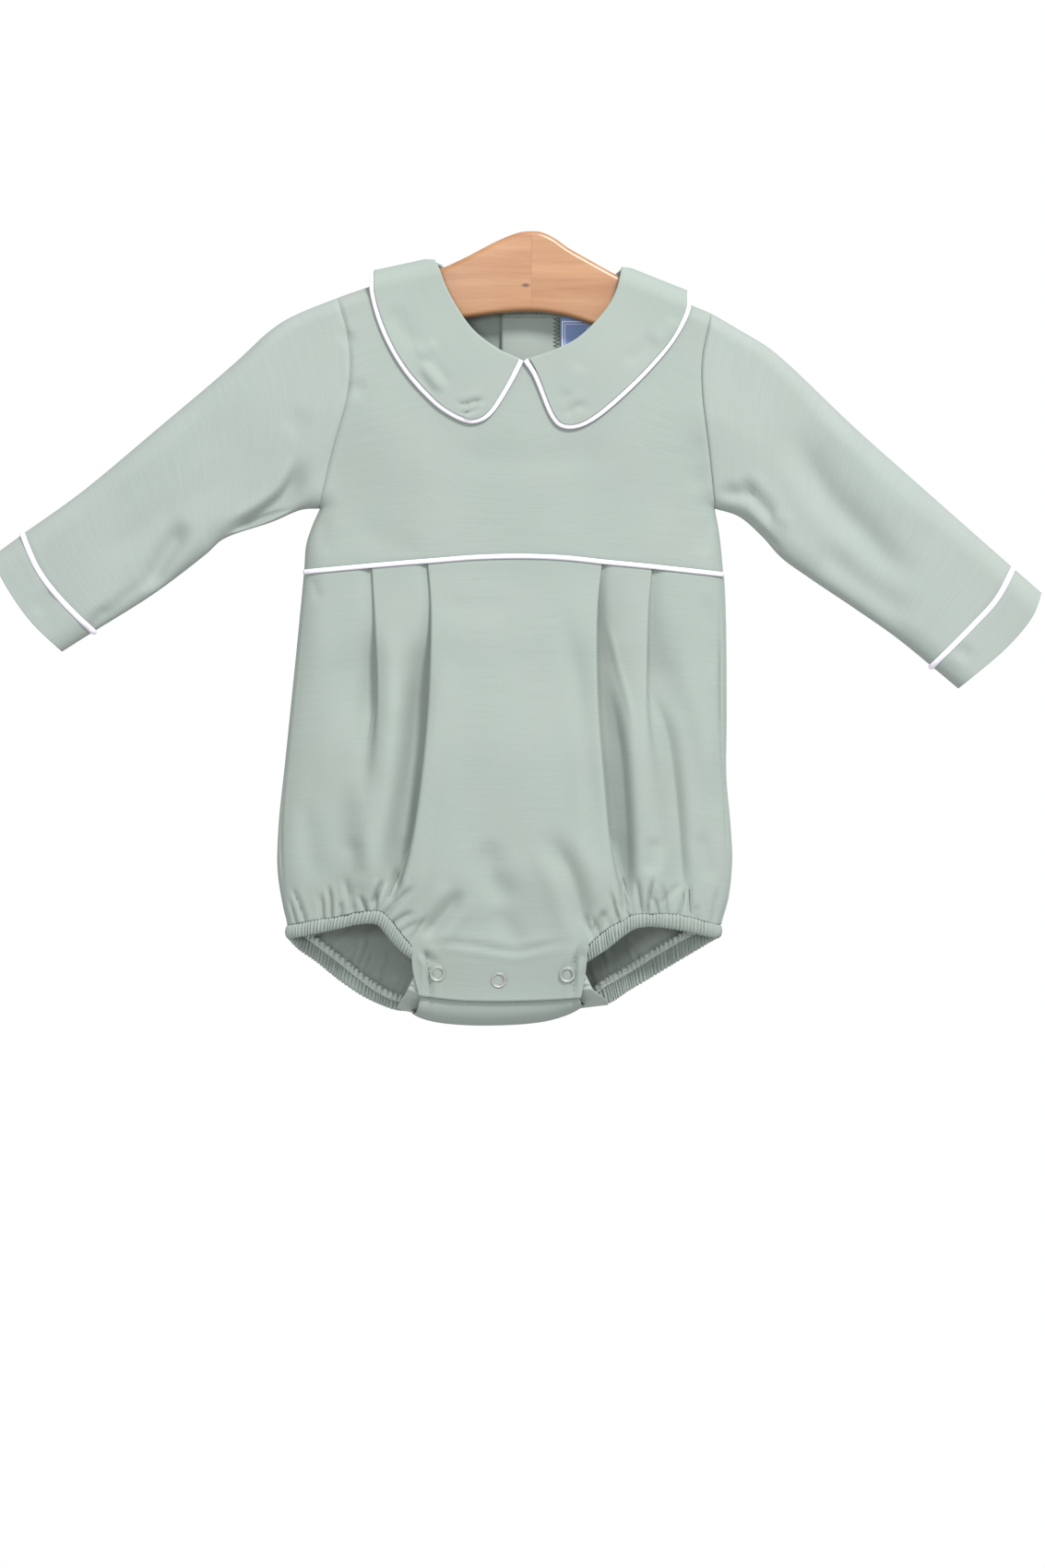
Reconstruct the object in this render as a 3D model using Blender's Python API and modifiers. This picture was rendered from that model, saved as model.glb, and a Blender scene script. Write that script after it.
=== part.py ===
"""Bubble romper with a round collar, hung on a wooden hanger.

Metres, +Z up, the front faces -Y. The origin is the top of the hanger's crest.
Tables are in millimetres, seen from the front: x to the right, z up from the crest.
"""

import math
from collections import namedtuple

import bmesh
import bpy
from mathutils import Vector

MM = 0.001

# ---------------------------------------------------------------- driving sizes
CLOTH_WALL = 1.2
COLLAR_WALL = 1.6
CUFF_WALL = 1.6
BAND_WALL = 1.5
SEAM_GAP = 0.4
LAY_GAP = 0.35
PIPING_RADIUS = 1.2
PIPING_SIDES_RESOLUTION = 1

FRONT = -1.0
BACK = 1.0

# How far the cloth stands off the middle plane, and how round its folded edge is.
FOLD_DEPTH = 9.0
SHOULDER_ROUNDING = 9.0
SIDE_ROUNDING = 14.0
ROUNDING_CHANGE_TOP = 60.0
ROUNDING_CHANGE_LENGTH = 70.0
BELLY_RUN = 70.0
SLEEVE_START = 110.0
SLEEVE_RUN = 60.0
SLEEVE_DEPTH = 8.5
BODY_MIDDLE_X = -10.0

Depth = namedtuple("Depth", "z front back")
BODY_DEPTHS = (
    Depth(z=-20.0, front=10.5, back=12.0),
    Depth(z=-80.0, front=12.5, back=13.5),
    Depth(z=-150.0, front=14.0, back=14.0),
    Depth(z=-200.0, front=15.0, back=14.5),
    Depth(z=-250.0, front=19.0, back=19.0),
    Depth(z=-320.0, front=24.0, back=25.0),
    Depth(z=-380.0, front=24.0, back=27.0),
    Depth(z=-420.0, front=20.0, back=23.0),
    Depth(z=-460.0, front=15.0, back=13.0),
)

# ---------------------------------------------------------------- outline tables
Point = namedtuple("Point", "x z")

# Folded edges of the cloth: along the shoulder and over the sleeve to the cuff hem.
LEFT_TOP_FOLD = (
    Point(-61.0, -22.1), Point(-97.0, -33.1), Point(-115.5, -39.6), Point(-144.3, -51.5),
    Point(-156.0, -59.2), Point(-177.9, -79.3), Point(-224.6, -118.9), Point(-269.0, -155.9),
    Point(-303.3, -180.4), Point(-322.2, -194.2),
)
RIGHT_TOP_FOLD = (
    Point(58.5, -25.9), Point(94.9, -43.8), Point(107.0, -49.0), Point(123.5, -58.5),
    Point(140.6, -68.8), Point(153.8, -79.8), Point(191.2, -115.6), Point(239.8, -158.9),
    Point(287.0, -200.6), Point(304.0, -215.5),
)
# From the cuff hem under the sleeve to the armpit.
LEFT_SLEEVE_UNDER_FOLD = (
    Point(-280.0, -250.6), Point(-261.0, -238.6), Point(-224.6, -215.7), Point(-193.5, -192.0),
    Point(-184.0, -183.6), Point(-154.8, -173.3), Point(-137.0, -166.0), Point(-126.2, -165.3),
)
RIGHT_SLEEVE_UNDER_FOLD = (
    Point(254.4, -272.6), Point(238.5, -259.3), Point(216.5, -241.5), Point(191.2, -223.9),
    Point(165.9, -206.9), Point(148.8, -194.5), Point(137.3, -181.8), Point(123.5, -170.0),
    Point(109.2, -165.3),
)
# From the armpit down the side to the bottom of the leg casing.
LEFT_SIDE_FOLD = (
    Point(-126.2, -165.3), Point(-131.0, -176.1), Point(-134.4, -187.0), Point(-135.6, -202.0),
    Point(-140.0, -248.0), Point(-147.2, -318.5), Point(-151.0, -356.0), Point(-151.5, -381.0),
    Point(-148.2, -402.7), Point(-145.8, -413.0), Point(-145.5, -422.0),
)
RIGHT_SIDE_FOLD = (
    Point(109.2, -165.3), Point(112.0, -181.0), Point(114.2, -204.0), Point(115.4, -234.0),
    Point(115.8, -290.0), Point(115.6, -325.0), Point(118.0, -353.0), Point(119.1, -375.0),
    Point(117.0, -397.0), Point(113.0, -412.0), Point(111.0, -421.5),
)

# Seams, from top to bottom or from left to right.
LEFT_ARMHOLE = (
    Point(-115.5, -39.6), Point(-109.6, -60.6), Point(-107.5, -77.6), Point(-108.8, -97.4),
    Point(-118.5, -132.6), Point(-126.2, -165.3),
)
RIGHT_ARMHOLE = (
    Point(107.0, -49.0), Point(101.6, -74.9), Point(101.3, -95.2), Point(105.9, -134.3),
    Point(109.2, -165.3),
)
WAIST_SEAM = (
    Point(-135.6, -203.4), Point(-94.8, -199.7), Point(-60.7, -197.0), Point(-32.1, -194.8),
    Point(-3.5, -194.2), Point(21.2, -195.3), Point(42.1, -197.5), Point(71.3, -200.3),
    Point(114.2, -204.9),
)
FRONT_NECKLINE = (
    Point(-61.0, -22.1), Point(-56.0, -30.5), Point(-50.0, -41.0), Point(-43.0, -52.4),
    Point(-35.0, -61.2), Point(-20.4, -72.6), Point(-4.6, -77.6), Point(14.4, -72.8),
    Point(27.6, -66.0), Point(39.0, -57.0), Point(49.0, -45.0), Point(55.0, -34.5),
    Point(58.5, -25.9),
)
BACK_NECKLINE = (
    Point(-61.0, -22.1), Point(-46.0, -29.6), Point(-24.0, -35.2), Point(-2.0, -36.8),
    Point(20.0, -36.4), Point(43.0, -31.6), Point(58.5, -25.9),
)

LEFT_CUFF_SEAM = (
    Point(-303.3, -180.4), Point(-293.5, -202.4), Point(-279.5, -220.4), Point(-261.0, -238.6),
)
RIGHT_CUFF_SEAM = (
    Point(287.0, -200.6), Point(276.4, -220.0), Point(261.2, -236.6), Point(238.5, -259.3),
)
LEFT_CUFF_HEM = (
    Point(-322.2, -194.2), Point(-311.5, -214.0), Point(-298.3, -232.7), Point(-280.0, -250.6),
)
RIGHT_CUFF_HEM = (
    Point(304.0, -215.5), Point(298.4, -229.4), Point(285.0, -246.2), Point(254.4, -272.6),
)

# The collar: its fold over the shoulder, and its outlines with the piping, seen from
# the front and, for the back half, through the garment.
CollarShape = namedtuple("CollarShape", "ridge neck outer end back_neck back_outer back_end")
COLLARS = {
    "left": CollarShape(
        ridge=(Point(-57.4, -16.8), Point(-95.9, -25.2)),
        neck=(
            Point(-57.4, -16.8), Point(-54.8, -23.0), Point(-50.8, -33.7), Point(-45.9, -43.2),
            Point(-34.3, -59.8), Point(-18.6, -71.6), Point(-7.6, -76.4),
        ),
        outer=(
            Point(-95.9, -25.2), Point(-95.9, -36.4), Point(-89.3, -59.5), Point(-75.6, -84.2),
            Point(-57.4, -104.0), Point(-47.5, -110.8), Point(-40.9, -113.9), Point(-34.9, -115.0),
        ),
        end=(
            Point(-34.9, -115.0), Point(-28.8, -113.4), Point(-23.3, -109.0), Point(-12.0, -91.4),
            Point(-5.1, -78.2),
        ),
        back_neck=(
            Point(-57.4, -16.8), Point(-52.2, -21.2), Point(-44.0, -27.2), Point(-24.0, -33.8),
            Point(-7.0, -35.6),
        ),
        back_outer=(
            Point(-95.9, -25.2), Point(-94.5, -40.0), Point(-85.0, -56.0), Point(-66.0, -67.0),
            Point(-44.0, -73.0), Point(-24.0, -75.5), Point(-14.0, -74.6),
        ),
        back_end=(
            Point(-14.0, -74.6), Point(-6.4, -69.5), Point(-4.2, -58.0), Point(-4.0, -36.4),
        ),
    ),
    "right": CollarShape(
        ridge=(Point(53.1, -21.0), Point(94.4, -37.4)),
        neck=(
            Point(53.1, -21.0), Point(52.5, -26.4), Point(50.5, -35.1), Point(44.1, -47.2),
            Point(26.4, -65.0), Point(8.0, -73.4), Point(-1.4, -76.4),
        ),
        outer=(
            Point(94.4, -37.4), Point(94.1, -47.4), Point(85.0, -65.5), Point(68.0, -85.9),
            Point(46.5, -106.2), Point(36.1, -113.8), Point(28.9, -117.2), Point(22.3, -118.3),
        ),
        end=(
            Point(22.3, -118.3), Point(16.3, -116.7), Point(11.6, -111.4), Point(0.9, -86.4),
            Point(-4.6, -78.2),
        ),
        back_neck=(
            Point(53.1, -21.0), Point(49.4, -25.6), Point(41.0, -29.8), Point(20.0, -35.0),
            Point(3.2, -35.8),
        ),
        back_outer=(
            Point(94.4, -37.4), Point(92.6, -52.0), Point(82.0, -66.0), Point(64.0, -75.0),
            Point(44.0, -79.0), Point(24.0, -79.0), Point(11.0, -76.0),
        ),
        back_end=(
            Point(11.0, -76.0), Point(2.6, -70.0), Point(0.4, -58.0), Point(0.2, -36.6),
        ),
    ),
}

# Lower edge of the front skirt: over the left leg, round the snap tab, over the right leg.
LEFT_HEM = (
    Point(-143.6, -413.4), Point(-128.9, -410.6), Point(-114.9, -408.4), Point(-102.5, -405.6),
    Point(-91.2, -405.1), Point(-87.7, -406.7), Point(-82.7, -411.7), Point(-77.2, -418.8),
    Point(-71.4, -425.6),
)
TAB_LEFT_SIDE = (Point(-71.4, -425.6), Point(-70.8, -439.5), Point(-67.0, -455.6))
TAB_BOTTOM = (
    Point(-67.0, -455.6), Point(-43.7, -458.2), Point(-19.5, -458.8), Point(6.0, -458.2),
    Point(29.2, -456.8),
)
TAB_RIGHT_SIDE = (Point(29.2, -456.8), Point(31.4, -446.0), Point(34.0, -424.8))
RIGHT_HEM = (
    Point(34.0, -424.8), Point(39.4, -420.3), Point(45.4, -415.3), Point(53.1, -411.5),
    Point(60.3, -407.7), Point(71.3, -406.9), Point(85.0, -407.1), Point(96.6, -409.6),
    Point(110.2, -413.4),
)
# Lower edge of the back skirt, and the fold of its crotch extension seen from the front.
LEFT_BACK_HEM = (
    Point(-145.8, -413.4), Point(-138.0, -417.2), Point(-128.9, -424.0), Point(-114.9, -435.2),
    Point(-100.9, -446.6), Point(-89.0, -454.0), Point(-75.0, -459.4),
)
RIGHT_BACK_HEM = (
    Point(34.0, -455.6), Point(42.0, -450.4), Point(57.5, -442.0), Point(80.1, -427.6),
    Point(96.0, -418.4), Point(104.6, -415.2), Point(112.6, -413.4),
)
CROTCH_FOLD = (
    Point(-74.6, -464.3), Point(-67.3, -468.7), Point(-58.0, -471.4), Point(-43.7, -473.1),
    Point(-25.0, -473.6), Point(-1.9, -472.5), Point(11.9, -470.3), Point(24.0, -466.2),
    Point(33.6, -460.6),
)

# Knife pleats of the front, from left to right. Shares of the skirt's length say where the
# overlap is used up and where the folded edge opens into a slope of the given width. The
# layers beneath the folded edge lie deeper by the step.
Pleat = namedtuple(
    "Pleat", "waist_x line hem_x overlap lapped slopes_from slopes_to width step low_step"
)
PLEATS = (
    Pleat(
        waist_x=-94.8, line=(Point(-92.6, -237.0), Point(-90.6, -290.0), Point(-90.4, -335.0)),
        hem_x=-101.0, overlap=10.0, lapped=0.42, slopes_from=0.26, slopes_to=0.75, width=15.0,
        step=4.4, low_step=1.8,
    ),
    Pleat(
        waist_x=-61.5, line=(Point(-59.4, -225.0), Point(-60.7, -276.0), Point(-65.7, -332.0),
                             Point(-73.6, -384.0)),
        hem_x=-82.7, overlap=11.0, lapped=0.86, slopes_from=0.62, slopes_to=1.0, width=5.5,
        step=4.4, low_step=6.5,
    ),
    Pleat(
        waist_x=41.6, line=(Point(38.6, -225.0), Point(38.8, -276.0), Point(43.0, -332.0),
                            Point(47.6, -384.0)),
        hem_x=53.1, overlap=11.0, lapped=0.86, slopes_from=0.62, slopes_to=1.0, width=7.0,
        step=4.4, low_step=6.5,
    ),
    Pleat(
        waist_x=71.3, line=(Point(69.1, -227.0), Point(68.0, -290.0), Point(68.6, -335.0)),
        hem_x=77.0, overlap=10.0, lapped=0.42, slopes_from=0.26, slopes_to=0.75, width=15.0,
        step=4.4, low_step=3.0,
    ),
)

# Leg casings: the seam edge and the free edge, from the front round the side to the back.
BandRow = namedtuple("BandRow", "seam_x seam_z free_x free_z")
BAND_FRONT = {
    "left": (
        BandRow(-72.6, -425.4, -75.0, -431.0), BandRow(-77.9, -419.4, -79.2, -427.4),
        BandRow(-83.5, -412.2, -84.8, -421.4), BandRow(-88.0, -407.6, -88.9, -416.0),
        BandRow(-91.4, -406.0, -92.3, -413.0), BandRow(-102.5, -406.6, -101.6, -412.8),
        BandRow(-114.9, -409.4, -114.6, -415.6), BandRow(-128.9, -411.5, -128.9, -418.7),
        BandRow(-139.4, -413.8, -139.0, -420.6), BandRow(-145.8, -414.6, -145.5, -421.6),
    ),
    "right": (
        BandRow(35.2, -425.0, 36.2, -433.4), BandRow(40.1, -421.2, 44.0, -428.3),
        BandRow(46.0, -416.2, 53.0, -421.2), BandRow(53.4, -412.5, 60.6, -416.2),
        BandRow(60.4, -408.6, 64.6, -415.0), BandRow(71.3, -407.8, 71.8, -414.4),
        BandRow(85.0, -408.0, 85.0, -416.0), BandRow(96.6, -410.6, 96.2, -418.4),
        BandRow(106.4, -413.2, 106.0, -420.6), BandRow(112.6, -414.6, 111.4, -421.4),
    ),
}
BAND_BACK = {
    "left": (
        BandRow(-145.8, -414.6, -145.5, -421.6), BandRow(-138.4, -418.4, -140.6, -427.4),
        BandRow(-129.6, -425.0, -129.4, -435.4), BandRow(-115.6, -436.2, -115.4, -446.8),
        BandRow(-101.6, -447.6, -101.2, -456.4), BandRow(-89.6, -455.2, -91.2, -461.2),
        BandRow(-77.4, -459.6, -79.6, -465.0),
    ),
    "right": (
        BandRow(112.6, -414.6, 111.4, -421.4), BandRow(104.8, -416.4, 103.4, -426.2),
        BandRow(96.4, -419.4, 89.6, -434.4), BandRow(80.4, -428.8, 71.3, -445.6),
        BandRow(57.8, -443.2, 57.5, -453.8), BandRow(43.0, -451.4, 47.6, -460.2),
        BandRow(36.4, -456.2, 39.0, -462.2),
    ),
}

# Ring snaps of the front tab, and back buttons on the placket.
SNAP_CENTRES = (Point(-55.8, -441.7), Point(-19.5, -445.6), Point(21.2, -442.3))
BUTTON_CENTRES = (Point(-1.5, -78.0), Point(-1.5, -120.0), Point(-1.5, -162.0))

# The two glued boards of the hanger.
HANGER_LEFT = (
    Point(-0.15, 0.0), Point(-5.0, -0.3), Point(-10.0, -1.6), Point(-16.5, -4.1),
    Point(-24.0, -7.6), Point(-37.6, -14.8), Point(-53.0, -22.0), Point(-75.0, -30.0),
    Point(-100.0, -38.8), Point(-125.0, -47.8), Point(-140.0, -53.2), Point(-147.6, -57.6),
    Point(-151.2, -64.4), Point(-147.6, -71.4), Point(-140.0, -74.2), Point(-100.0, -64.6),
    Point(-60.0, -56.0), Point(-40.9, -52.3), Point(-24.0, -49.5), Point(-7.0, -48.1),
    Point(-0.15, -48.0),
)
HANGER_RIGHT = (
    Point(0.15, 0.0), Point(4.4, -0.3), Point(9.0, -1.8), Point(14.8, -4.9),
    Point(21.2, -9.6), Point(35.0, -17.5), Point(52.0, -26.8), Point(75.0, -37.8),
    Point(100.0, -49.8), Point(114.0, -56.8), Point(126.0, -64.6), Point(134.6, -70.8),
    Point(138.8, -77.2), Point(136.0, -83.8), Point(128.4, -86.4), Point(95.0, -75.6),
    Point(60.0, -64.2), Point(37.7, -56.4), Point(22.3, -51.1), Point(8.6, -48.6),
    Point(0.15, -48.0),
)

# ---------------------------------------------------------------- small geometry


def lerp(a, b, share):
    return a + (b - a) * share


def smooth(share):
    share = min(max(share, 0.0), 1.0)
    return share * share * (3.0 - 2.0 * share)


def arc(share):
    """Quarter circle from 0 at the folded edge to 1 a full rounding away from it."""
    return math.sqrt(max(0.0, 1.0 - (1.0 - min(max(share, 0.0), 1.0)) ** 2))


def table_value(rows, key, name, at):
    """A column of a table whose rows go down in z, read between its rows."""
    if at >= getattr(rows[0], key):
        return getattr(rows[0], name)
    for upper, lower in zip(rows, rows[1:]):
        top, bottom = getattr(upper, key), getattr(lower, key)
        if at >= bottom:
            share = smooth((top - at) / (top - bottom))
            return lerp(getattr(upper, name), getattr(lower, name), share)
    return getattr(rows[-1], name)


class Curve:
    """A smooth line through a few points, read by its share of length."""

    def __init__(self, points, samples_per_span=8):
        knots = [Vector(p) for p in points]
        first = knots[0] * 2 - knots[1]
        last = knots[-1] * 2 - knots[-2]
        padded = [first] + knots + [last]
        self.points = [knots[0]]
        for i in range(1, len(padded) - 2):
            for step in range(1, samples_per_span + 1):
                self.points.append(self.span(padded[i - 1:i + 3], step / samples_per_span))
        self.lengths = [0.0]
        for a, b in zip(self.points, self.points[1:]):
            self.lengths.append(self.lengths[-1] + (b - a).length)
        self.length = self.lengths[-1]

    @staticmethod
    def span(knots, t):
        """Centripetal spline between the two middle knots."""
        p0, p1, p2, p3 = knots
        t0 = 0.0
        t1 = t0 + max((p1 - p0).length, 1e-6) ** 0.5
        t2 = t1 + max((p2 - p1).length, 1e-6) ** 0.5
        t3 = t2 + max((p3 - p2).length, 1e-6) ** 0.5
        at = lerp(t1, t2, t)
        a1 = p0 * ((t1 - at) / (t1 - t0)) + p1 * ((at - t0) / (t1 - t0))
        a2 = p1 * ((t2 - at) / (t2 - t1)) + p2 * ((at - t1) / (t2 - t1))
        a3 = p2 * ((t3 - at) / (t3 - t2)) + p3 * ((at - t2) / (t3 - t2))
        b1 = a1 * ((t2 - at) / (t2 - t0)) + a2 * ((at - t0) / (t2 - t0))
        b2 = a2 * ((t3 - at) / (t3 - t1)) + a3 * ((at - t1) / (t3 - t1))
        return b1 * ((t2 - at) / (t2 - t1)) + b2 * ((at - t1) / (t2 - t1))

    def at(self, share):
        target = min(max(share, 0.0), 1.0) * self.length
        for i in range(1, len(self.points)):
            if self.lengths[i] >= target:
                run = self.lengths[i] - self.lengths[i - 1]
                part = (target - self.lengths[i - 1]) / run if run else 0.0
                return self.points[i - 1].lerp(self.points[i], part)
        return self.points[-1].copy()

    def share_at(self, axis, value):
        """The share of length where the line first passes a value of x (0) or z (1)."""
        for i in range(1, len(self.points)):
            a, b = self.points[i - 1][axis], self.points[i][axis]
            if (a - value) * (b - value) <= 0.0 and a != b:
                run = self.lengths[i] - self.lengths[i - 1]
                return (self.lengths[i - 1] + run * (value - a) / (b - a)) / self.length
        return 1.0

    def distance(self, x, z):
        nearest = 1e9
        for a, b in zip(self.points, self.points[1:]):
            ax, az = a
            dx, dz = b[0] - ax, b[1] - az
            run = dx * dx + dz * dz
            share = ((x - ax) * dx + (z - az) * dz) / run if run else 0.0
            share = min(max(share, 0.0), 1.0)
            gap = math.hypot(x - ax - dx * share, z - az - dz * share)
            nearest = min(nearest, gap)
        return nearest

    def part(self, start, end, count):
        return [self.at(lerp(start, end, i / (count - 1))) for i in range(count)]


def patch(bottom, top, left, right, us, vs):
    """Points between four edges that share their corners, rows from bottom to top."""
    rows = []
    for v in vs:
        row = []
        for u in us:
            across = bottom(u) * (1 - v) + top(u) * v
            along = left(v) * (1 - u) + right(v) * u
            low = bottom(0) * (1 - u) + bottom(1) * u
            high = top(0) * (1 - u) + top(1) * u
            row.append(across + along - (low * (1 - v) + high * v))
        rows.append(row)
    return rows


TOP_FOLD = {"left": Curve(LEFT_TOP_FOLD), "right": Curve(RIGHT_TOP_FOLD)}
UNDER_FOLD = {"left": Curve(LEFT_SLEEVE_UNDER_FOLD), "right": Curve(RIGHT_SLEEVE_UNDER_FOLD)}
SIDE_FOLD = {"left": Curve(LEFT_SIDE_FOLD), "right": Curve(RIGHT_SIDE_FOLD)}
ARMHOLE = {"left": Curve(LEFT_ARMHOLE), "right": Curve(RIGHT_ARMHOLE)}
WAIST = Curve(WAIST_SEAM)
OUTWARD = {"left": -1.0, "right": 1.0}


NORMAL_STEP = 0.4


def fold_distance(x, z):
    side = "left" if x < BODY_MIDDLE_X else "right"
    return min(fold[side].distance(x, z) for fold in (TOP_FOLD, UNDER_FOLD, SIDE_FOLD))


def belly(x, z, layer):
    """Depth of the cloth well inside its folded edges."""
    body = table_value(BODY_DEPTHS, "z", "front" if layer == FRONT else "back", z)
    into_sleeve = smooth((abs(x - BODY_MIDDLE_X) - SLEEVE_START) / SLEEVE_RUN)
    if z < -280.0:
        into_sleeve = 0.0
    return lerp(body, SLEEVE_DEPTH, into_sleeve)


def rounding(z):
    change = smooth((-z - ROUNDING_CHANGE_TOP) / ROUNDING_CHANGE_LENGTH)
    return lerp(SHOULDER_ROUNDING, SIDE_ROUNDING, change)


def depth(x, z, layer):
    """How far the outer face of the cloth stands off the middle plane."""
    inside = fold_distance(x, z)
    full = lerp(FOLD_DEPTH, belly(x, z, layer), smooth(inside / BELLY_RUN))
    return full * arc(inside / rounding(z))


def on_cloth(x, z, layer, lift=0.0):
    return Vector((x, layer * (depth(x, z, layer) + lift), z))


def outward_normal(x, z, layer):
    across = on_cloth(x + NORMAL_STEP, z, layer) - on_cloth(x - NORMAL_STEP, z, layer)
    upward = on_cloth(x, z + NORMAL_STEP, layer) - on_cloth(x, z - NORMAL_STEP, layer)
    normal = across.cross(upward).normalized()
    return normal if normal.y * layer > 0.0 else -normal


# ---------------------------------------------------------------- scene helpers


def clear_scene():
    for obj in list(bpy.data.objects):
        bpy.data.objects.remove(obj)


def make_collection(name):
    collection = bpy.data.collections.new(name)
    bpy.context.scene.collection.children.link(collection)
    return collection


def make_material(name, colour, roughness, metallic=0.0):
    material = bpy.data.materials.new(name)
    material.use_nodes = True
    shader = material.node_tree.nodes["Principled BSDF"]
    shader.inputs["Base Color"].default_value = (*colour, 1.0)
    shader.inputs["Roughness"].default_value = roughness
    shader.inputs["Metallic"].default_value = metallic
    return material


def add_object(name, data, material, collection):
    obj = bpy.data.objects.new(name, data)
    obj.data.materials.append(material)
    collection.objects.link(obj)
    return obj


def grid_mesh(name, grids, ring=False, flip=False):
    """A mesh of quads over rows of points; grids that share an edge are welded."""
    bm = bmesh.new()
    for rows in grids:
        made = [[bm.verts.new(p * MM) for p in row] for row in rows]
        for low, high in zip(made, made[1:]):
            count = len(low)
            for i in range(count if ring else count - 1):
                j = (i + 1) % count
                corners = [low[i], low[j], high[j], high[i]]
                if flip:
                    corners.reverse()
                bm.faces.new(corners)
    bmesh.ops.remove_doubles(bm, verts=bm.verts, dist=0.00001)
    mesh = bpy.data.meshes.new(name)
    bm.to_mesh(mesh)
    bm.free()
    mesh.shade_smooth()
    return mesh


def add_wall(name, grids, material, collection, wall, ring=False, flip=False, offset=-1.0):
    """Cloth: an open surface whose outer face is the given one, with its wall inside."""
    obj = add_object(name, grid_mesh(name, grids, ring, flip), material, collection)
    solid = obj.modifiers.new("wall", "SOLIDIFY")
    solid.thickness = wall * MM
    solid.offset = offset
    solid.use_even_offset = False
    return obj


def add_tube(name, points, radius, material, collection, closed=False):
    curve = bpy.data.curves.new(name, "CURVE")
    curve.dimensions = "3D"
    curve.bevel_depth = radius * MM
    curve.bevel_resolution = PIPING_SIDES_RESOLUTION
    curve.use_fill_caps = not closed
    spline = curve.splines.new("POLY")
    spline.points.add(len(points) - 1)
    for knot, point in zip(spline.points, points):
        knot.co = (*(point * MM), 1.0)
    spline.use_cyclic_u = closed
    return add_object(name, curve, material, collection)


# ---------------------------------------------------------------- bodice

YOKE_EDGE_STEPS = (0.0, 0.6, 3.0, 8.0, 16.0, 30.0, 45.0)
# The steps stop this far from the neck.
NECK_CLEARANCE = 6.0
NECK_COLUMNS = 8
SEAM_HALF = SEAM_GAP / 2
SHOULDER_SEAM_HALF = 0.5
# Shares of the height of a bodice panel from the waist up, close together at folded edges.
BODICE_ROWS = (
    0.0, 0.1, 0.23, 0.245, 0.29, 0.37, 0.51, 0.65, 0.78, 0.88, 0.94, 0.967, 0.984, 0.9955, 1.0,
)
# The same rows under the neck, where no fold needs them close together.
NECK_ROWS = (
    0.0, 0.1, 0.2, 0.235, 0.3, 0.38, 0.48, 0.58, 0.67, 0.75, 0.82, 0.88, 0.93, 0.97, 1.0,
)
UNDERARM_ROW = 2
NECK_STEPS = (1.4, 4.5, 10.0)
NECK_BLEND = 3
NECK_SAMPLES = 33
BACK_CENTRE_COLUMNS = 4


def side_edge(side, inset):
    """Waist to shoulder along the side seam and the armhole, set in by half the seam gap."""
    seam = SIDE_FOLD[side]
    armhole = ARMHOLE[side]
    waist_share = seam.share_at(1, WAIST.at(0.0 if side == "left" else 1.0)[1])
    underarm = BODICE_ROWS[UNDERARM_ROW]

    def edge(v):
        if v <= underarm:
            point = seam.at(lerp(waist_share, 0.0, v / underarm))
            return point - Vector((OUTWARD[side] * SEAM_HALF * v / underarm, 0.0))
        point = armhole.at(1.0 - (v - underarm) / (1.0 - underarm))
        return point - Vector((OUTWARD[side] * inset, 0.0))

    return edge


def shoulder_part(side):
    """Share of the top fold where the armhole seam crosses it."""
    return TOP_FOLD[side].share_at(0, ARMHOLE[side].at(0.0)[0] - OUTWARD[side] * SEAM_HALF)


def piecewise(shares, points):
    """A line through points at given shares, straight between them."""

    def read(u):
        for i in range(1, len(shares)):
            if u <= shares[i] + 1e-9:
                part = (u - shares[i - 1]) / (shares[i] - shares[i - 1])
                return points[i - 1].lerp(points[i], part)
        return points[-1].copy()

    return read


def shoulder_points(side):
    """Points on the shoulder fold from the armhole to the neck, close together at first."""
    fold = TOP_FOLD[side]
    end = shoulder_part(side)
    run = end * fold.length
    shares = [end - step / fold.length for step in YOKE_EDGE_STEPS if step < run - NECK_CLEARANCE]
    return [fold.at(share) for share in shares] + [fold.at(0.0)]


def neck_shares(neck, ends, columns):
    """Shares of a neckline's length, close together where it meets a shoulder fold."""
    start = [0.0] + [step / neck.length for step in NECK_STEPS]
    end = [1.0 - share for share in start[::-1]] if ends == 2 else [1.0]
    middle = [lerp(start[-1], end[0], i / columns) for i in range(1, columns)]
    return start + middle + end


def bodice_rows(top_points, necks, left_edge, right_edge, waist_start, waist_end, layer, lift):
    """A bodice panel under a line of points along its shoulders and neck."""
    spread = [0.0]
    for a, b in zip(top_points, top_points[1:]):
        spread.append(spread[-1] + max(abs((b - a)[0]), 0.5 * (b - a).length))
    us = [s / spread[-1] for s in spread]
    top = piecewise(us, top_points)

    def bottom(u):
        return WAIST.at(lerp(waist_start, waist_end, u)) + Vector((0.0, SEAM_HALF))

    columns = []
    for c, u in enumerate(us):
        into_neck = smooth(min(abs(c - necks[0]), abs(c - necks[1])) / NECK_BLEND)
        if not necks[0] < c < necks[1]:
            into_neck = 0.0
        vs = [lerp(v, relaxed, into_neck) for v, relaxed in zip(BODICE_ROWS, NECK_ROWS)]
        columns.append([row[0] for row in patch(bottom, top, left_edge, right_edge, [u], vs)])
    return [[on_cloth(p[0], p[1], layer, lift(p)) for p in row] for row in zip(*columns)]


def pin_to_fold(rows, pinned, layer):
    """Keep the named points of a panel just beside the middle plane."""
    for row, column in pinned:
        rows[row][column].y = layer * SHOULDER_SEAM_HALF


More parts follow.
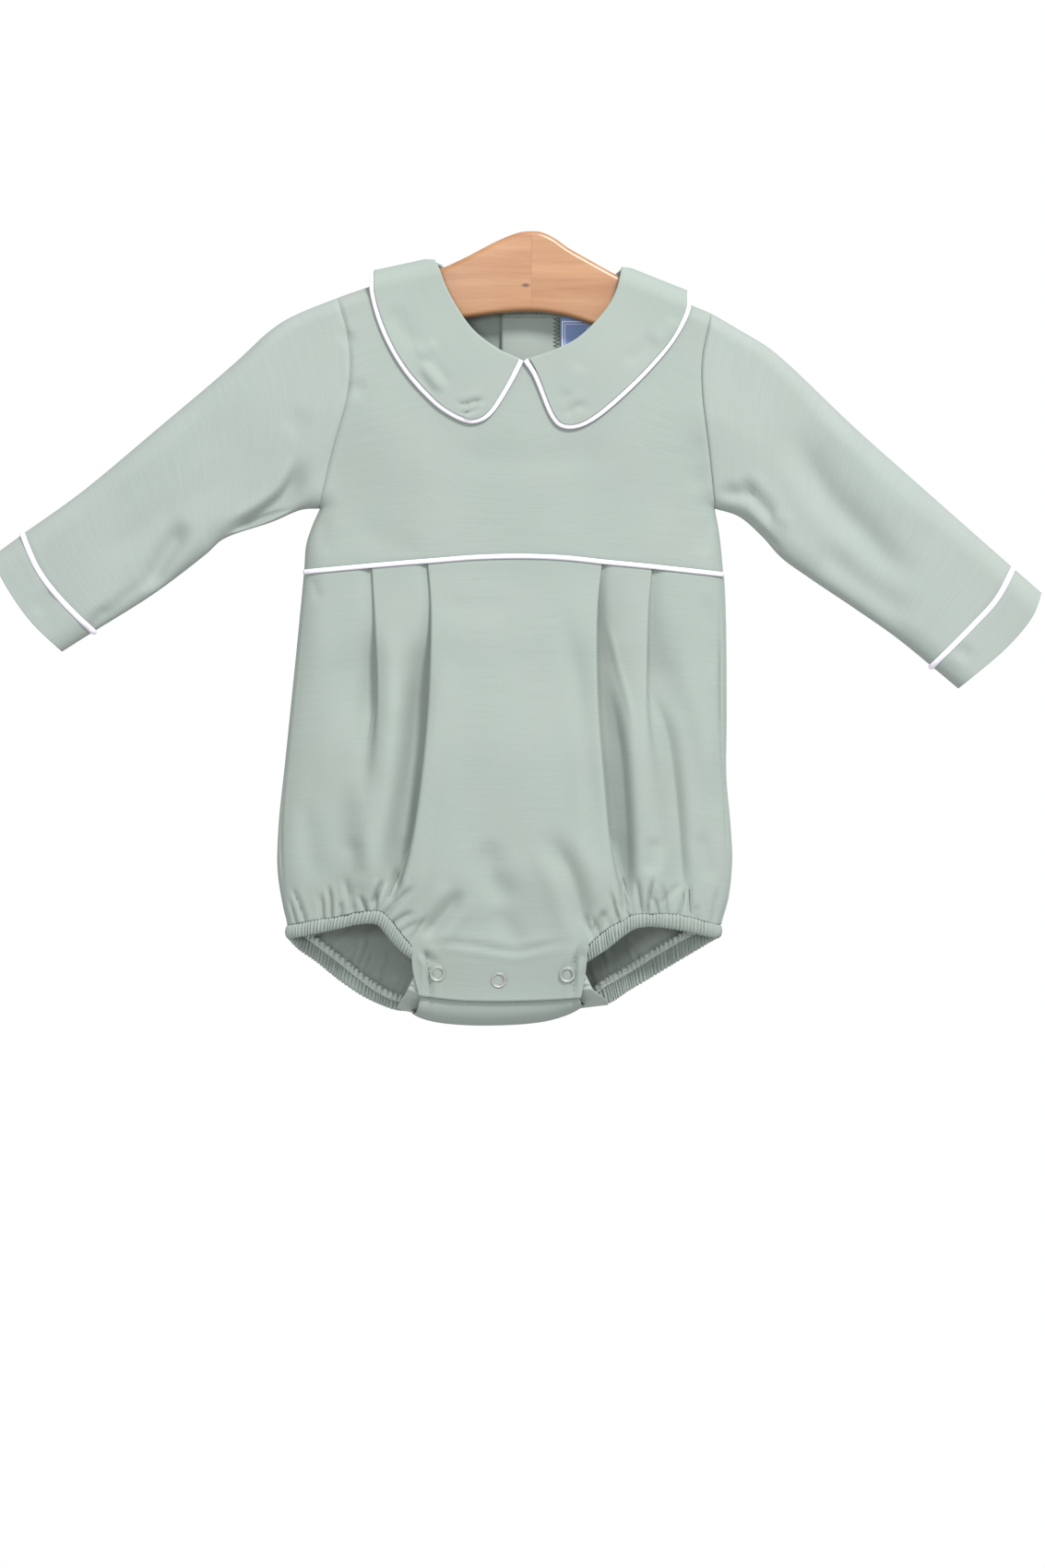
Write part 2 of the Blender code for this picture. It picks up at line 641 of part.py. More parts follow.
def build_front_yoke(material, collection):
    left = shoulder_points("left")
    right = shoulder_points("right")
    line = Curve(FRONT_NECKLINE)
    neck = [line.at(share) for share in neck_shares(line, 2, NECK_COLUMNS)[1:-1]]
    top = left + neck + right[::-1]
    last = len(top) - 1
    necks = (len(left) - 1, last - len(right) + 1)
    rows = bodice_rows(
        top, necks, side_edge("left", SEAM_HALF), side_edge("right", SEAM_HALF), 0.0, 1.0,
        FRONT, lambda p: 0.0,
    )
    shoulder = list(range(necks[0] + 1)) + list(range(necks[1], last + 1))
    pinned = [(len(rows) - 1, c) for c in shoulder]
    pinned += [(r, c) for r in range(UNDERARM_ROW + 1) for c in (0, last)]
    pin_to_fold(rows, pinned, FRONT)
    return add_wall("front_yoke", [rows], material, collection, CLOTH_WALL)


# The back opens at the centre: the left half laps over the right one.
PLACKET_LEFT_X = -18.4
PLACKET_RIGHT_X = 16.3
LAP_RUN = 30.0
UNDER_LAP = -(CLOTH_WALL + LAY_GAP)


def under_lap(x):
    return UNDER_LAP * smooth((PLACKET_RIGHT_X + LAP_RUN - x) / LAP_RUN)


def build_back_half(side, material, collection):
    fold_points = shoulder_points(side)
    neck = Curve(BACK_NECKLINE)
    centre_x = PLACKET_RIGHT_X if side == "left" else PLACKET_LEFT_X
    neck_end = neck.share_at(0, centre_x)
    start = 0.0 if side == "left" else 1.0
    to_centre = Curve(neck.part(start, neck_end, NECK_SAMPLES), samples_per_span=1)
    shares = neck_shares(to_centre, 1, BACK_CENTRE_COLUMNS)[1:]
    neck_points = [to_centre.at(share) for share in shares]
    waist_end = WAIST.share_at(0, centre_x)
    top_end = neck_points[-1]
    waist_point = WAIST.at(waist_end) + Vector((0.0, SEAM_HALF))

    def centre(v):
        return waist_point.lerp(top_end, v)

    def lift(p):
        return 0.0 if side == "left" else under_lap(p[0])

    top = fold_points + neck_points
    necks = (len(fold_points) - 1, len(top) + NECK_BLEND)
    rows = bodice_rows(
        top, necks, side_edge(side, SEAM_HALF), centre, start, waist_end, BACK, lift
    )
    pinned = [(len(rows) - 1, c) for c in range(len(fold_points))]
    pinned += [(r, 0) for r in range(UNDERARM_ROW + 1)]
    pin_to_fold(rows, pinned, BACK)
    return add_wall(
        "back_bodice_" + side, [rows], material, collection, CLOTH_WALL, flip=side == "left"
    )


# ---------------------------------------------------------------- sleeves and cuffs

SLEEVE_ROWS = (0.0, 0.04, 0.13, 0.25, 0.38, 0.51, 0.64, 0.76, 0.87, 0.96, 1.0)
CUFF_ROWS = (0.0, 0.5, 1.0)
CUFF_SEAM = {"left": Curve(LEFT_CUFF_SEAM), "right": Curve(RIGHT_CUFF_SEAM)}
CUFF_HEM = {"left": Curve(LEFT_CUFF_HEM), "right": Curve(RIGHT_CUFF_HEM)}
# Shares of a sleeve's width from its upper fold to its lower one, as the armhole has them.
UNDERARM = BODICE_ROWS[UNDERARM_ROW]
ACROSS = [(1.0 - v) / (1.0 - UNDERARM) for v in reversed(BODICE_ROWS[UNDERARM_ROW:])]


def tube_rows(start, end, upper, lower, along):
    """Rings round a flat tube, from the front of its upper fold and back to it."""
    flat = patch(start, end, upper, lower, ACROSS, along)
    rings = []
    for row in flat:
        front = [on_cloth(p[0], p[1], FRONT) for p in row]
        back = [on_cloth(p[0], p[1], BACK) for p in row[-2:0:-1]]
        front[0].y = 0.0
        front[-1].y = 0.0
        rings.append(front + back)
    return rings


def fold_run(curve, start, end):
    return lambda v: curve.at(lerp(start, end, v))


def moved(read, shift):
    return lambda u: read(u) + shift


def sleeve_rings(side):
    upper, under = TOP_FOLD[side], UNDER_FOLD[side]
    gap = Vector((OUTWARD[side] * SEAM_HALF, 0.0))
    upper_run = fold_run(
        upper, upper.share_at(0, (ARMHOLE[side].at(0.0) + gap)[0]),
        upper.share_at(0, CUFF_SEAM[side].at(0.0)[0] - gap[0]),
    )
    under_run = fold_run(
        under, 1.0 - SEAM_HALF / under.length,
        under.share_at(0, CUFF_SEAM[side].at(1.0)[0] - gap[0]),
    )
    armhole = moved(ARMHOLE[side].at, gap)
    cuff_seam = moved(CUFF_SEAM[side].at, -gap)
    return tube_rows(armhole, cuff_seam, upper_run, under_run, SLEEVE_ROWS)


def cuff_rings(side):
    upper, under = TOP_FOLD[side], UNDER_FOLD[side]
    gap = Vector((OUTWARD[side] * SEAM_HALF, 0.0))
    upper_run = fold_run(upper, upper.share_at(0, CUFF_SEAM[side].at(0.0)[0] + gap[0]), 1.0)
    under_run = fold_run(under, under.share_at(0, CUFF_SEAM[side].at(1.0)[0] + gap[0]), 0.0)
    cuff_seam = moved(CUFF_SEAM[side].at, gap)
    return tube_rows(cuff_seam, CUFF_HEM[side].at, upper_run, under_run, CUFF_ROWS)


def piping_ring(rings, away, step=1):
    """A ring moved outwards from the tube that the given rings make."""
    ring, inner = rings
    moved_ring = []
    count = len(ring)
    for i in range(0, count, step):
        tangent = (ring[(i + 1) % count] - ring[i - 1]).normalized()
        axis = (ring[i] - inner[i]).normalized()
        outwards = tangent.cross(axis).normalized()
        centre = sum(ring, Vector()) / count
        if outwards.dot(ring[i] - centre) < 0.0:
            outwards = -outwards
        moved_ring.append(ring[i] + outwards * away)
    return moved_ring


def build_sleeve(side, cloth, piping, collection):
    turn = side == "left"
    rings = sleeve_rings(side)
    cuffs = cuff_rings(side)
    add_wall("sleeve_" + side, [rings], cloth, collection, CLOTH_WALL, ring=True, flip=turn)
    add_wall("cuff_" + side, [cuffs], cloth, collection, CUFF_WALL, ring=True, flip=turn)
    seam = [a.lerp(b, 0.5) for a, b in zip(rings[-1], cuffs[0])]
    path = piping_ring((seam, rings[-2]), LAY_GAP + PIPING_RADIUS)
    add_tube("cuff_piping_" + side, path, PIPING_RADIUS, piping, collection, closed=True)


# ---------------------------------------------------------------- collar

COLLAR_LIFT = LAY_GAP + COLLAR_WALL
PIPING_LIFT = LAY_GAP + PIPING_RADIUS
COLLAR_INSET = 2 * PIPING_RADIUS + LAY_GAP
COLLAR_ACROSS = (0.0, 0.2, 0.42, 0.62, 0.79, 0.91, 1.0)
# Shares of a collar half from its free end to its fold over the shoulder.
COLLAR_FRONT = (0.0, 0.045, 0.1, 0.19, 0.3, 0.43, 0.56, 0.69, 0.8, 0.88, 0.935, 0.97, 0.992, 1.0)
COLLAR_BACK = (0.0, 0.06, 0.14, 0.28, 0.44, 0.6, 0.74, 0.84, 0.9, 0.94, 0.97, 0.992, 1.0)


def below_ridge(side, x, z):
    near, far = (Vector(p) for p in COLLARS[side].ridge)
    run = far - near
    return abs(run[0] * (z - near[1]) - run[1] * (x - near[0])) / run.length


def on_collar(side, x, z, layer, lift):
    """A point of the collar, which stands off the shoulder and then lies on the bodice."""
    inside = smooth(fold_distance(x, z) / BELLY_RUN)
    full = lerp(FOLD_DEPTH, belly(x, z, layer), inside) + lift
    edge = arc(below_ridge(side, x, z) / (SHOULDER_ROUNDING + lift))
    return Vector((x, layer * full * edge, z))


def inset_line(curve, inset, towards, count=33):
    """Points of a line moved sideways towards a point."""
    points = curve.part(0.0, 1.0, count)
    moved_points = []
    for i, point in enumerate(points):
        before, after = points[max(i - 1, 0)], points[min(i + 1, count - 1)]
        run = (after - before).normalized()
        sideways = Vector((-run[1], run[0]))
        if i == 0 and sideways.dot(towards - point) < 0.0:
            inset = -inset
        moved_points.append(point + sideways * inset)
    return Curve(moved_points, samples_per_span=1)


def collar_outline(side, layer, inset):
    """The outer edge from the shoulder fold round the tip to the free end, set in."""
    shape = COLLARS[side]
    outer, end = (shape.outer, shape.end) if layer == FRONT else (shape.back_outer, shape.back_end)
    neck_middle = Vector(shape.ridge[0]).lerp(Vector(outer[-1]), 0.5)
    whole = Curve(outer + end[1:])
    tip = Curve(outer).length / whole.length
    line = inset_line(whole, inset, neck_middle)
    ridge = Vector(shape.ridge[1]) + (
        Vector(shape.ridge[0]) - Vector(shape.ridge[1])
    ).normalized() * inset
    line.points[0] = ridge
    return line, tip


def collar_rows(side, layer):
    shape = COLLARS[side]
    neck = Curve(shape.neck if layer == FRONT else shape.back_neck)
    outline, tip = collar_outline(side, layer, COLLAR_INSET)
    free_neck = neck.at(1.0)
    free_tip = outline.at(1.0)
    ridge_neck, ridge_outer = neck.at(0.0), outline.at(0.0)

    def free_end(v):
        return outline.at(lerp(1.0, tip, v)) + (free_neck - free_tip) * (1.0 - v) ** 4

    rows = patch(
        lambda u: neck.at(1.0 - u),
        lambda u: outline.at(tip * (1.0 - u)),
        free_end,
        lambda v: ridge_neck.lerp(ridge_outer, v),
        COLLAR_FRONT if layer == FRONT else COLLAR_BACK,
        COLLAR_ACROSS,
    )
    strips = [[on_collar(side, p[0], p[1], layer, COLLAR_LIFT) for p in row] for row in rows]
    for strip in strips:
        strip[-1].y = 0.0
    return strips


def collar_piping_points(side, layer):
    outline, tip = collar_outline(side, layer, PIPING_RADIUS)
    along = COLLAR_FRONT if layer == FRONT else COLLAR_BACK
    shares = [lerp(1.0, tip, v) for v in COLLAR_ACROSS] + [tip * (1.0 - u) for u in along[1:-1]]
    points = [outline.at(share) for share in shares]
    return [on_collar(side, p[0], p[1], layer, PIPING_LIFT) for p in points]


def build_collar(side, cloth, piping, collection):
    front = collar_rows(side, FRONT)
    back = collar_rows(side, BACK)
    strips = [f + b[-2::-1] for f, b in zip(front, back)]
    add_wall(
        "collar_" + side, [strips], cloth, collection, COLLAR_WALL, flip=side == "left"
    )
    ridge = collar_outline(side, FRONT, PIPING_RADIUS)[0].at(0.0)
    path = collar_piping_points(side, FRONT)
    path.append(Vector((ridge[0], 0.0, ridge[1])))
    path += collar_piping_points(side, BACK)[::-1]
    add_tube("collar_piping_" + side, path, PIPING_RADIUS, piping, collection)


# ---------------------------------------------------------------- front skirt

SKIRT_DOWN = (0.0, 0.06, 0.17, 0.3, 0.43, 0.56, 0.68, 0.79, 0.88, 0.95, 1.0)
NEAR_FOLD = (0.0, 0.6, 3.0, 8.0, 16.0, 26.0)
GATHER_DEPTH = 0.8
GATHER_FROM = 0.8
SETTLE_FROM = 0.86
SETTLED_SHARE = 0.15
LEFT_HEM_LINE = Curve(LEFT_HEM)
RIGHT_HEM_LINE = Curve(RIGHT_HEM)
OPEN_BEND_SHARE = 0.82
DEEP_FROM, DEEP_TO = 0.25, 0.8
NEXT_TO_BEND = 1.0
UPPER_FADE = 8
DIP_FADE = 2.5
NEAR_SIDE = 1
SIDE_COLUMNS = 3
BETWEEN_COLUMNS = 4
CENTRE_STEPS = {"hem": 2, "tab_side": 3, "tab_bottom": 6}


def pleat_step(pleat, down):
    deepening = smooth((down - DEEP_FROM) / (DEEP_TO - DEEP_FROM))
    return lerp(pleat.step, pleat.low_step, deepening) * settle(down)


def settle(down):
    """Folds flatten where they are gathered into the leg casing."""
    return lerp(1.0, SETTLED_SHARE, smooth((down - SETTLE_FROM) / (1.0 - SETTLE_FROM)))


def pleat_line(pleat):
    waist = WAIST.at(WAIST.share_at(0, pleat.waist_x)) - Vector((0.0, SEAM_HALF))
    hem = LEFT_HEM_LINE if pleat.hem_x < BODY_MIDDLE_X else RIGHT_HEM_LINE
    foot = hem.at(hem.share_at(0, pleat.hem_x))
    return Curve((waist,) + pleat.line + (foot,))


def side_seam(side):
    """The skirt's side seam along the fold, from waist to hem."""
    fold = SIDE_FOLD[side]
    start = fold.share_at(1, WAIST.at(0.0 if side == "left" else 1.0)[1] - SEAM_HALF)
    end = fold.share_at(1, (LEFT_HEM[0] if side == "left" else RIGHT_HEM[-1]).z)
    return lambda v: fold.at(lerp(start, end, v))


def hem_part(line, start, end, columns):
    return line.part(line.share_at(0, start), line.share_at(0, end), columns + 1)


def side_hem(line, side, pleat_x):
    """Hem points from the side fold to the outer pleat, close together at first."""
    fold_x = line.at(0.0 if side == "left" else 1.0)[0]
    xs = [fold_x - OUTWARD[side] * step for step in NEAR_FOLD]
    xs += [lerp(xs[-1], pleat_x, i / SIDE_COLUMNS) for i in range(1, SIDE_COLUMNS + 1)]
    ends = {xs[0]: 0.0 if side == "left" else 1.0}
    return [line.at(ends.get(x, line.share_at(0, x))) for x in xs]


def panel_shares(hem_points):
    spread = [0.0]
    for a, b in zip(hem_points, hem_points[1:]):
        spread.append(spread[-1] + (b - a).length)
    return [s / spread[-1] for s in spread]


def panel_rows(hem_points, left_edge, right_edge):
    """Flat points of a skirt panel, rows from the waist down."""
    us = panel_shares(hem_points)
    start = WAIST.share_at(0, left_edge(0.0)[0]) if left_edge(0.0)[0] > WAIST.at(0.0)[0] else 0.0
    end = WAIST.share_at(0, right_edge(0.0)[0])

    def waist(u):
        return WAIST.at(lerp(start, end, u)) - Vector((0.0, SEAM_HALF))

    rows = patch(waist, piecewise(us, hem_points), left_edge, right_edge, us, SKIRT_DOWN)
    return us, rows


def front_face(x, z, deeper):
    """Middle of the wall, set back by the depth of a fold."""
    inwards = outward_normal(x, z, FRONT) * (CLOTH_WALL / 2)
    return on_cloth(x, z, FRONT) - inwards + Vector((0.0, deeper, 0.0))


def centre_hem():
    """Hem points of the middle panel, with the tab's outline."""
    left, right = LEFT_HEM_LINE, RIGHT_HEM_LINE
    p2, p3 = PLEATS[1].hem_x, PLEATS[2].hem_x
    points = left.part(left.share_at(0, p2), 1.0, CENTRE_STEPS["hem"] + 1)
    for edge, steps in ((TAB_LEFT_SIDE, "tab_side"), (TAB_BOTTOM, "tab_bottom"),
                        (TAB_RIGHT_SIDE, "tab_side")):
        points += Curve(edge).part(0.0, 1.0, CENTRE_STEPS[steps] + 1)[1:]
    return points + right.part(0.0, right.share_at(0, p3), CENTRE_STEPS["hem"] + 1)[1:]


def skirt_panels():
    """Shares across and flat rows of the five panels, from left to right."""
    lines = [pleat_line(pleat).at for pleat in PLEATS]
    ends = [side_seam("left")] + lines + [side_seam("right")]
    p1, p2, p3, p4 = (pleat.hem_x for pleat in PLEATS)
    hems = (
        side_hem(LEFT_HEM_LINE, "left", p1),
        hem_part(LEFT_HEM_LINE, p1, p2, BETWEEN_COLUMNS),
        centre_hem(),
        hem_part(RIGHT_HEM_LINE, p3, p4, BETWEEN_COLUMNS),
        side_hem(RIGHT_HEM_LINE, "right", p4)[::-1],
    )
    return [panel_rows(hem, ends[i], ends[i + 1]) for i, hem in enumerate(hems)]


def hem_height(x):
    """Height of the hem over a leg."""
    line = LEFT_HEM_LINE if x < BODY_MIDDLE_X else RIGHT_HEM_LINE
    first, last = line.points[0], line.points[-1]
    if x <= first[0]:
        return first[1]
    return line.at(line.share_at(0, x))[1] if x < last[0] else last[1]


def pleat_section(pleat, down):
    """Points (along, deeper) from the deep panel to the upper one, seen from the fold line.

    Two equal bends, with the overlap between them, turn the cloth over; as the pleat opens
    the overlap goes, the bends widen and they turn it less.
    """
    step = pleat_step(pleat, down)
    lap = pleat.overlap * max(0.0, 1.0 - down / pleat.lapped)
    sloping = smooth((down - pleat.slopes_from) / (pleat.slopes_to - pleat.slopes_from))
    width = pleat.width * sloping
    angle = 2 * math.atan2(step, width)
    radius = (width ** 2 + step ** 2) / (4 * step)
    top = step / 4 * (1.0 - sloping)
    foot = top - 2 * radius * math.sin(angle) - lap * math.cos(angle)
    last = lerp(1.0, OPEN_BEND_SHARE, sloping)
    turns = [angle * last * share for share in (0.0, 0.5, 1.0)]
    lower = [
        (foot + radius * math.sin(a), step - radius * (1.0 - math.cos(a))) for a in turns
    ]
    upper = [(top - radius * math.sin(a), radius * (1.0 - math.cos(a))) for a in turns[::-1]]
    return lower + upper


def stop_short(pleat, down):
    """How far before the fold line the deep panel ends."""
    return NEXT_TO_BEND + max(0.0, -pleat_section(pleat, down)[0][0])


def panel_points(panel, r, deep_left, deep_right, upper_left, upper_right):
    """A row of a panel between its pleats; it dips towards a pleat where it lies deeper."""
    us, rows = panel
    down = SKIRT_DOWN[r]
    gather = GATHER_DEPTH * smooth((down - GATHER_FROM) / (1.0 - GATHER_FROM))
    ends = ((deep_left, upper_left, 1.0), (deep_right, upper_right, -1.0))
    at_side = not (upper_left or upper_right)
    made = []
    for i, u in enumerate(us):
        x, z = rows[r][i]
        foot_x, foot_z = rows[-1][i]
        deeper = 0.0
        for (deep, upper, way), share in zip(ends, (1.0 - u, u)):
            if deep:
                x += way * stop_short(deep, down) * share ** 2
                foot_x += way * stop_short(deep, 1.0) * share ** 2
                deeper = pleat_step(deep, down) * smooth(share) ** DIP_FADE
                if at_side and NEAR_SIDE < i < len(us) - 1 - NEAR_SIDE:
                    deeper += gather * (-1) ** i
            if upper:
                start = pleat_section(upper, down)[-1][0] + NEXT_TO_BEND
                x += way * start * share ** UPPER_FADE
        if deep_left or deep_right:
            z += (hem_height(foot_x) - foot_z) * down ** 2
        made.append(front_face(x, z, deeper))
    return made


def pleat_points(pleat, line, down, towards):
    """The layers of a pleat between the deeper panel and the upper one."""
    edge, foot = line.at(down), line.at(1.0)
    made = []
    for (along, deeper), (foot_along, _) in zip(
        pleat_section(pleat, down), pleat_section(pleat, 1.0)
    ):
        shift = hem_height(foot[0] + towards * foot_along) - foot[1]
        x = edge[0] + towards * along
        made.append(front_face(x, edge[1] + shift * down ** 2, deeper))
    return made


def build_front_skirt(material, collection):
    panels = skirt_panels()
    lines = [pleat_line(pleat) for pleat in PLEATS]
    rows = []
    for r, down in enumerate(SKIRT_DOWN):
        row = panel_points(panels[0], r, None, PLEATS[0], None, None)
        row += pleat_points(PLEATS[0], lines[0], down, 1.0)
        row += panel_points(panels[1], r, None, PLEATS[1], PLEATS[0], None)
        row += pleat_points(PLEATS[1], lines[1], down, 1.0)
        row += panel_points(panels[2], r, None, None, PLEATS[1], PLEATS[2])
        row += pleat_points(PLEATS[2], lines[2], down, -1.0)[::-1]
        row += panel_points(panels[3], r, PLEATS[2], None, None, PLEATS[3])
        row += pleat_points(PLEATS[3], lines[3], down, -1.0)[::-1]
        row += panel_points(panels[4], r, PLEATS[3], None, None, None)
        for end in (0, -1):
            row[end].y = -(SHOULDER_SEAM_HALF + CLOTH_WALL / 2)
        rows.append(row)
    return add_wall(
        "front_skirt", [rows[::-1]], material, collection, CLOTH_WALL, offset=0.0
    )


# ---------------------------------------------------------------- back skirt

LEG_COLUMNS = 6
CROTCH_COLUMNS = 8
BACK_GATHER_DEPTH = 0.55
BACK_GATHER_LENGTH = 0.4
EXTENSION_TOP_Z = -428.0
EXTENSION_LEFT_X = -66.4
EXTENSION_RIGHT_X = 28.4
EXTENSION_FRONT_Z = -457.5
UNDER_TAB = CLOTH_WALL + 1.0
UNDER_TURNS = 6
UNDER_ROWS = 3


def back_hem_points():
    """Lower ends of the back skirt's columns, from the left fold round to the right one."""
    left, right = Curve(LEFT_BACK_HEM), Curve(RIGHT_BACK_HEM)
    left_x, right_x = LEFT_BACK_HEM[0].x, RIGHT_BACK_HEM[-1].x
    points = [left.at(left.share_at(0, left_x + step)) for step in NEAR_FOLD[1:-1]]
    points = [left.at(0.0)] + points
    start = left.share_at(0, left_x + NEAR_FOLD[-2])
    points += left.part(start, 1.0, LEG_COLUMNS + 1)[1:]
    points += [
        points[-1].lerp(right.at(0.0), i / CROTCH_COLUMNS) for i in range(1, CROTCH_COLUMNS + 1)
    ]
    end = right.share_at(0, right_x - NEAR_FOLD[-2])
    points += right.part(0.0, end, LEG_COLUMNS + 1)[1:]
    points += [right.at(right.share_at(0, right_x - step)) for step in NEAR_FOLD[-3:0:-1]]
    return points + [right.at(1.0)]


def back_skirt_rows():
    hem = back_hem_points()
    us = panel_shares(hem)

    def waist(u):
        return WAIST.at(u) - Vector((0.0, SEAM_HALF))

    flat = patch(
        waist, piecewise(us, hem), side_seam("left"), side_seam("right"), us, SKIRT_DOWN
    )
    rows = []
    last = len(hem) - 1
    near = len(NEAR_FOLD) - 2
    for r, down in enumerate(SKIRT_DOWN):
        gather = BACK_GATHER_DEPTH * (
            smooth(1.0 - down / BACK_GATHER_LENGTH)
            + smooth((down - GATHER_FROM) / (1.0 - GATHER_FROM))
        )
        row = []
        for i, p in enumerate(flat[r]):
            lift = gather * (-1) ** i if near < i < last - near else 0.0
            row.append(on_cloth(p[0], p[1], BACK, lift))
        row[0].y = row[-1].y = SHOULDER_SEAM_HALF
        rows.append(row)
    return rows


def crotch_rows(start_row):
    """The extension: down from the back, round the crotch fold and up behind the tab."""
    fold = Curve(CROTCH_FOLD)
    rows = [[point.copy() for point in start_row]]
    count = len(start_row)
    for turn in range(1, UNDER_TURNS + UNDER_ROWS + 1):
        angle = math.pi * min(turn / UNDER_TURNS, 1.0)
        row = []
        for i, start in enumerate(start_row):
            share = i / (count - 1)
            front_x = lerp(EXTENSION_LEFT_X, EXTENSION_RIGHT_X, share)
            x = lerp(start.x, front_x, angle / math.pi)
            front_y = -(depth(front_x, EXTENSION_FRONT_Z, FRONT) - UNDER_TAB)
            middle, half = (start.y + front_y) / 2, (start.y - front_y) / 2
            rest_z = lerp(start.z, EXTENSION_FRONT_Z, angle / math.pi)
            drop = rest_z - fold.at(fold.share_at(0, x))[1]
            if turn <= UNDER_TURNS:
                y = middle + half * math.cos(angle)
                row.append(Vector((x, y, rest_z - drop * math.sin(angle))))
            else:
                z = lerp(EXTENSION_FRONT_Z, EXTENSION_TOP_Z, (turn - UNDER_TURNS) / UNDER_ROWS)
                row.append(Vector((x, -(depth(x, z, FRONT) - UNDER_TAB), z)))
        rows.append(row)
    return rows


def build_back_skirt(material, collection):
    rows = back_skirt_rows()
    first = len(NEAR_FOLD) - 2 + LEG_COLUMNS
    crotch = crotch_rows(rows[-1][first:first + CROTCH_COLUMNS + 1])
    return add_wall("back_skirt", [rows, crotch], material, collection, CLOTH_WALL)


# ---------------------------------------------------------------- leg casings

BAND_WAVES = 30
BAND_RIPPLE = 0.35
BAND_SCALLOP = 0.3


def band_rows(side):
    """Seam edge and free edge of a casing, rippled by its gathers."""
    seam_edge, free_edge = [], []
    steps = 2 * BAND_WAVES
    parts = ((BAND_FRONT[side], FRONT), (BAND_BACK[side], BACK))
    for table, layer in parts:
        seam = Curve([(row.seam_x, row.seam_z) for row in table])
        free = Curve([(row.free_x, row.free_z) for row in table])
        first = 0 if layer == FRONT else 1
        for i in range(first, steps + 1):
            wave = (-1) ** i
            at_fold = layer == FRONT and i == steps
            for line, edge, scallop in ((seam, seam_edge, 0.0), (free, free_edge, BAND_SCALLOP)):
                p = line.at(i / steps)
                point = on_cloth(p[0], p[1], layer, 0.0)
                point.y += layer * wave * BAND_RIPPLE
                point.z += wave * scallop
                if at_fold:
                    point.y = 0.0
                edge.append(point)
    return [seam_edge, free_edge]


def build_bands(side, cloth, collection):
    add_wall(
        "leg_band_" + side, [band_rows(side)], cloth, collection, BAND_WALL, flip=side == "left"
    )


# ---------------------------------------------------------------- small pieces

PIPING_END_STEPS = (3.0, 5.0, 8.0, 12.0, 18.0)
WAIST_PIPING_STEPS = 18
BACK_PLACKET_TOP_Z = -39.0
BACK_PLACKET_BOTTOM_Z = -191.0
LABEL_LEFT_X, LABEL_RIGHT_X = 17.4, 37.0
LABEL_TOP_Z, LABEL_BOTTOM_Z = -41.0, -70.4
LABEL_WALL = 1.0
FACING_GRID = (3, 8)
LABEL_GRID = (3, 4)
SNAP_STEPS = 14
BUTTON_RADIUS = 5.5
BUTTON_THICKNESS = 2.2
BUTTON_SEGMENTS = 16
BUTTON_EDGE = 0.6
BUTTON_SHARP_ANGLE = 50.0
HANGER_HALF_THICKNESS = 6.0
HANGER_EDGE = 3.1
HANGER_EDGE_SEGMENTS = 2
HANGER_SHARP_ANGLE = 40.0
SAME_PLACE = 0.01

Ring = namedtuple("Ring", "radius height")
SNAP_PROFILE = (
    Ring(4.7, 0.9), Ring(4.7, 0.0), Ring(2.9, 0.0), Ring(2.9, 0.8), Ring(3.4, 0.8),
    Ring(3.75, 0.35), Ring(4.1, 0.9),
)


def inner_sheet(name, left, right, top, bottom, grid_size, wall, material, collection):
    """A flat strip that lies on the inside of the back."""
    columns, rows = grid_size
    lift = -(CLOTH_WALL + LAY_GAP)
    grid = []
    for r in range(rows + 1):
        z = lerp(bottom, top, r / rows)
        xs = [lerp(left, right, c / columns) for c in range(columns + 1)]
        grid.append([on_cloth(x, z, BACK, under_lap(x) + lift) for x in xs])
    return add_wall(name, [grid], material, collection, wall, flip=True)


def place_on_cloth(obj, centre, layer, lift):
    normal = outward_normal(centre.x, centre.z, layer)
    obj.rotation_mode = "QUATERNION"
    obj.rotation_quaternion = normal.to_track_quat("Z", "Y")
    obj.location = (on_cloth(centre.x, centre.z, layer) + normal * lift) * MM


def build_snaps(metal, collection):
    for number, centre in enumerate(SNAP_CENTRES, start=1):
        bm = bmesh.new()
        knots = [bm.verts.new((ring.radius * MM, 0.0, ring.height * MM)) for ring in SNAP_PROFILE]
        for i, knot in enumerate(knots):
            bm.edges.new((knot, knots[(i + 1) % len(knots)]))
        name = "ring_snap_%d" % number
        mesh = bpy.data.meshes.new(name)
        bm.to_mesh(mesh)
        bm.free()
        snap = add_object(name, mesh, metal, collection)
        turn = snap.modifiers.new("turn", "SCREW")
        turn.steps = SNAP_STEPS
        turn.render_steps = SNAP_STEPS
        turn.use_merge_vertices = True
        turn.merge_threshold = SAME_PLACE * MM
        turn.use_smooth_shade = True
        place_on_cloth(snap, centre, FRONT, LAY_GAP)


def build_buttons(plastic, collection):
    for number, centre in enumerate(BUTTON_CENTRES, start=1):
        bm = bmesh.new()
        bmesh.ops.create_cone(
            bm, cap_ends=True, segments=BUTTON_SEGMENTS, radius1=BUTTON_RADIUS * MM,
            radius2=BUTTON_RADIUS * MM, depth=BUTTON_THICKNESS * MM,
        )
        name = "back_button_%d" % number
        mesh = bpy.data.meshes.new(name)
        bm.to_mesh(mesh)
        bm.free()
        button = add_object(name, mesh, plastic, collection)
        edge = button.modifiers.new("edge", "BEVEL")
        edge.width = BUTTON_EDGE * MM
        edge.segments = 1
        mesh.shade_smooth()
        mesh.set_sharp_from_angle(angle=math.radians(BUTTON_SHARP_ANGLE))
        place_on_cloth(button, centre, BACK, LAY_GAP + BUTTON_THICKNESS / 2)


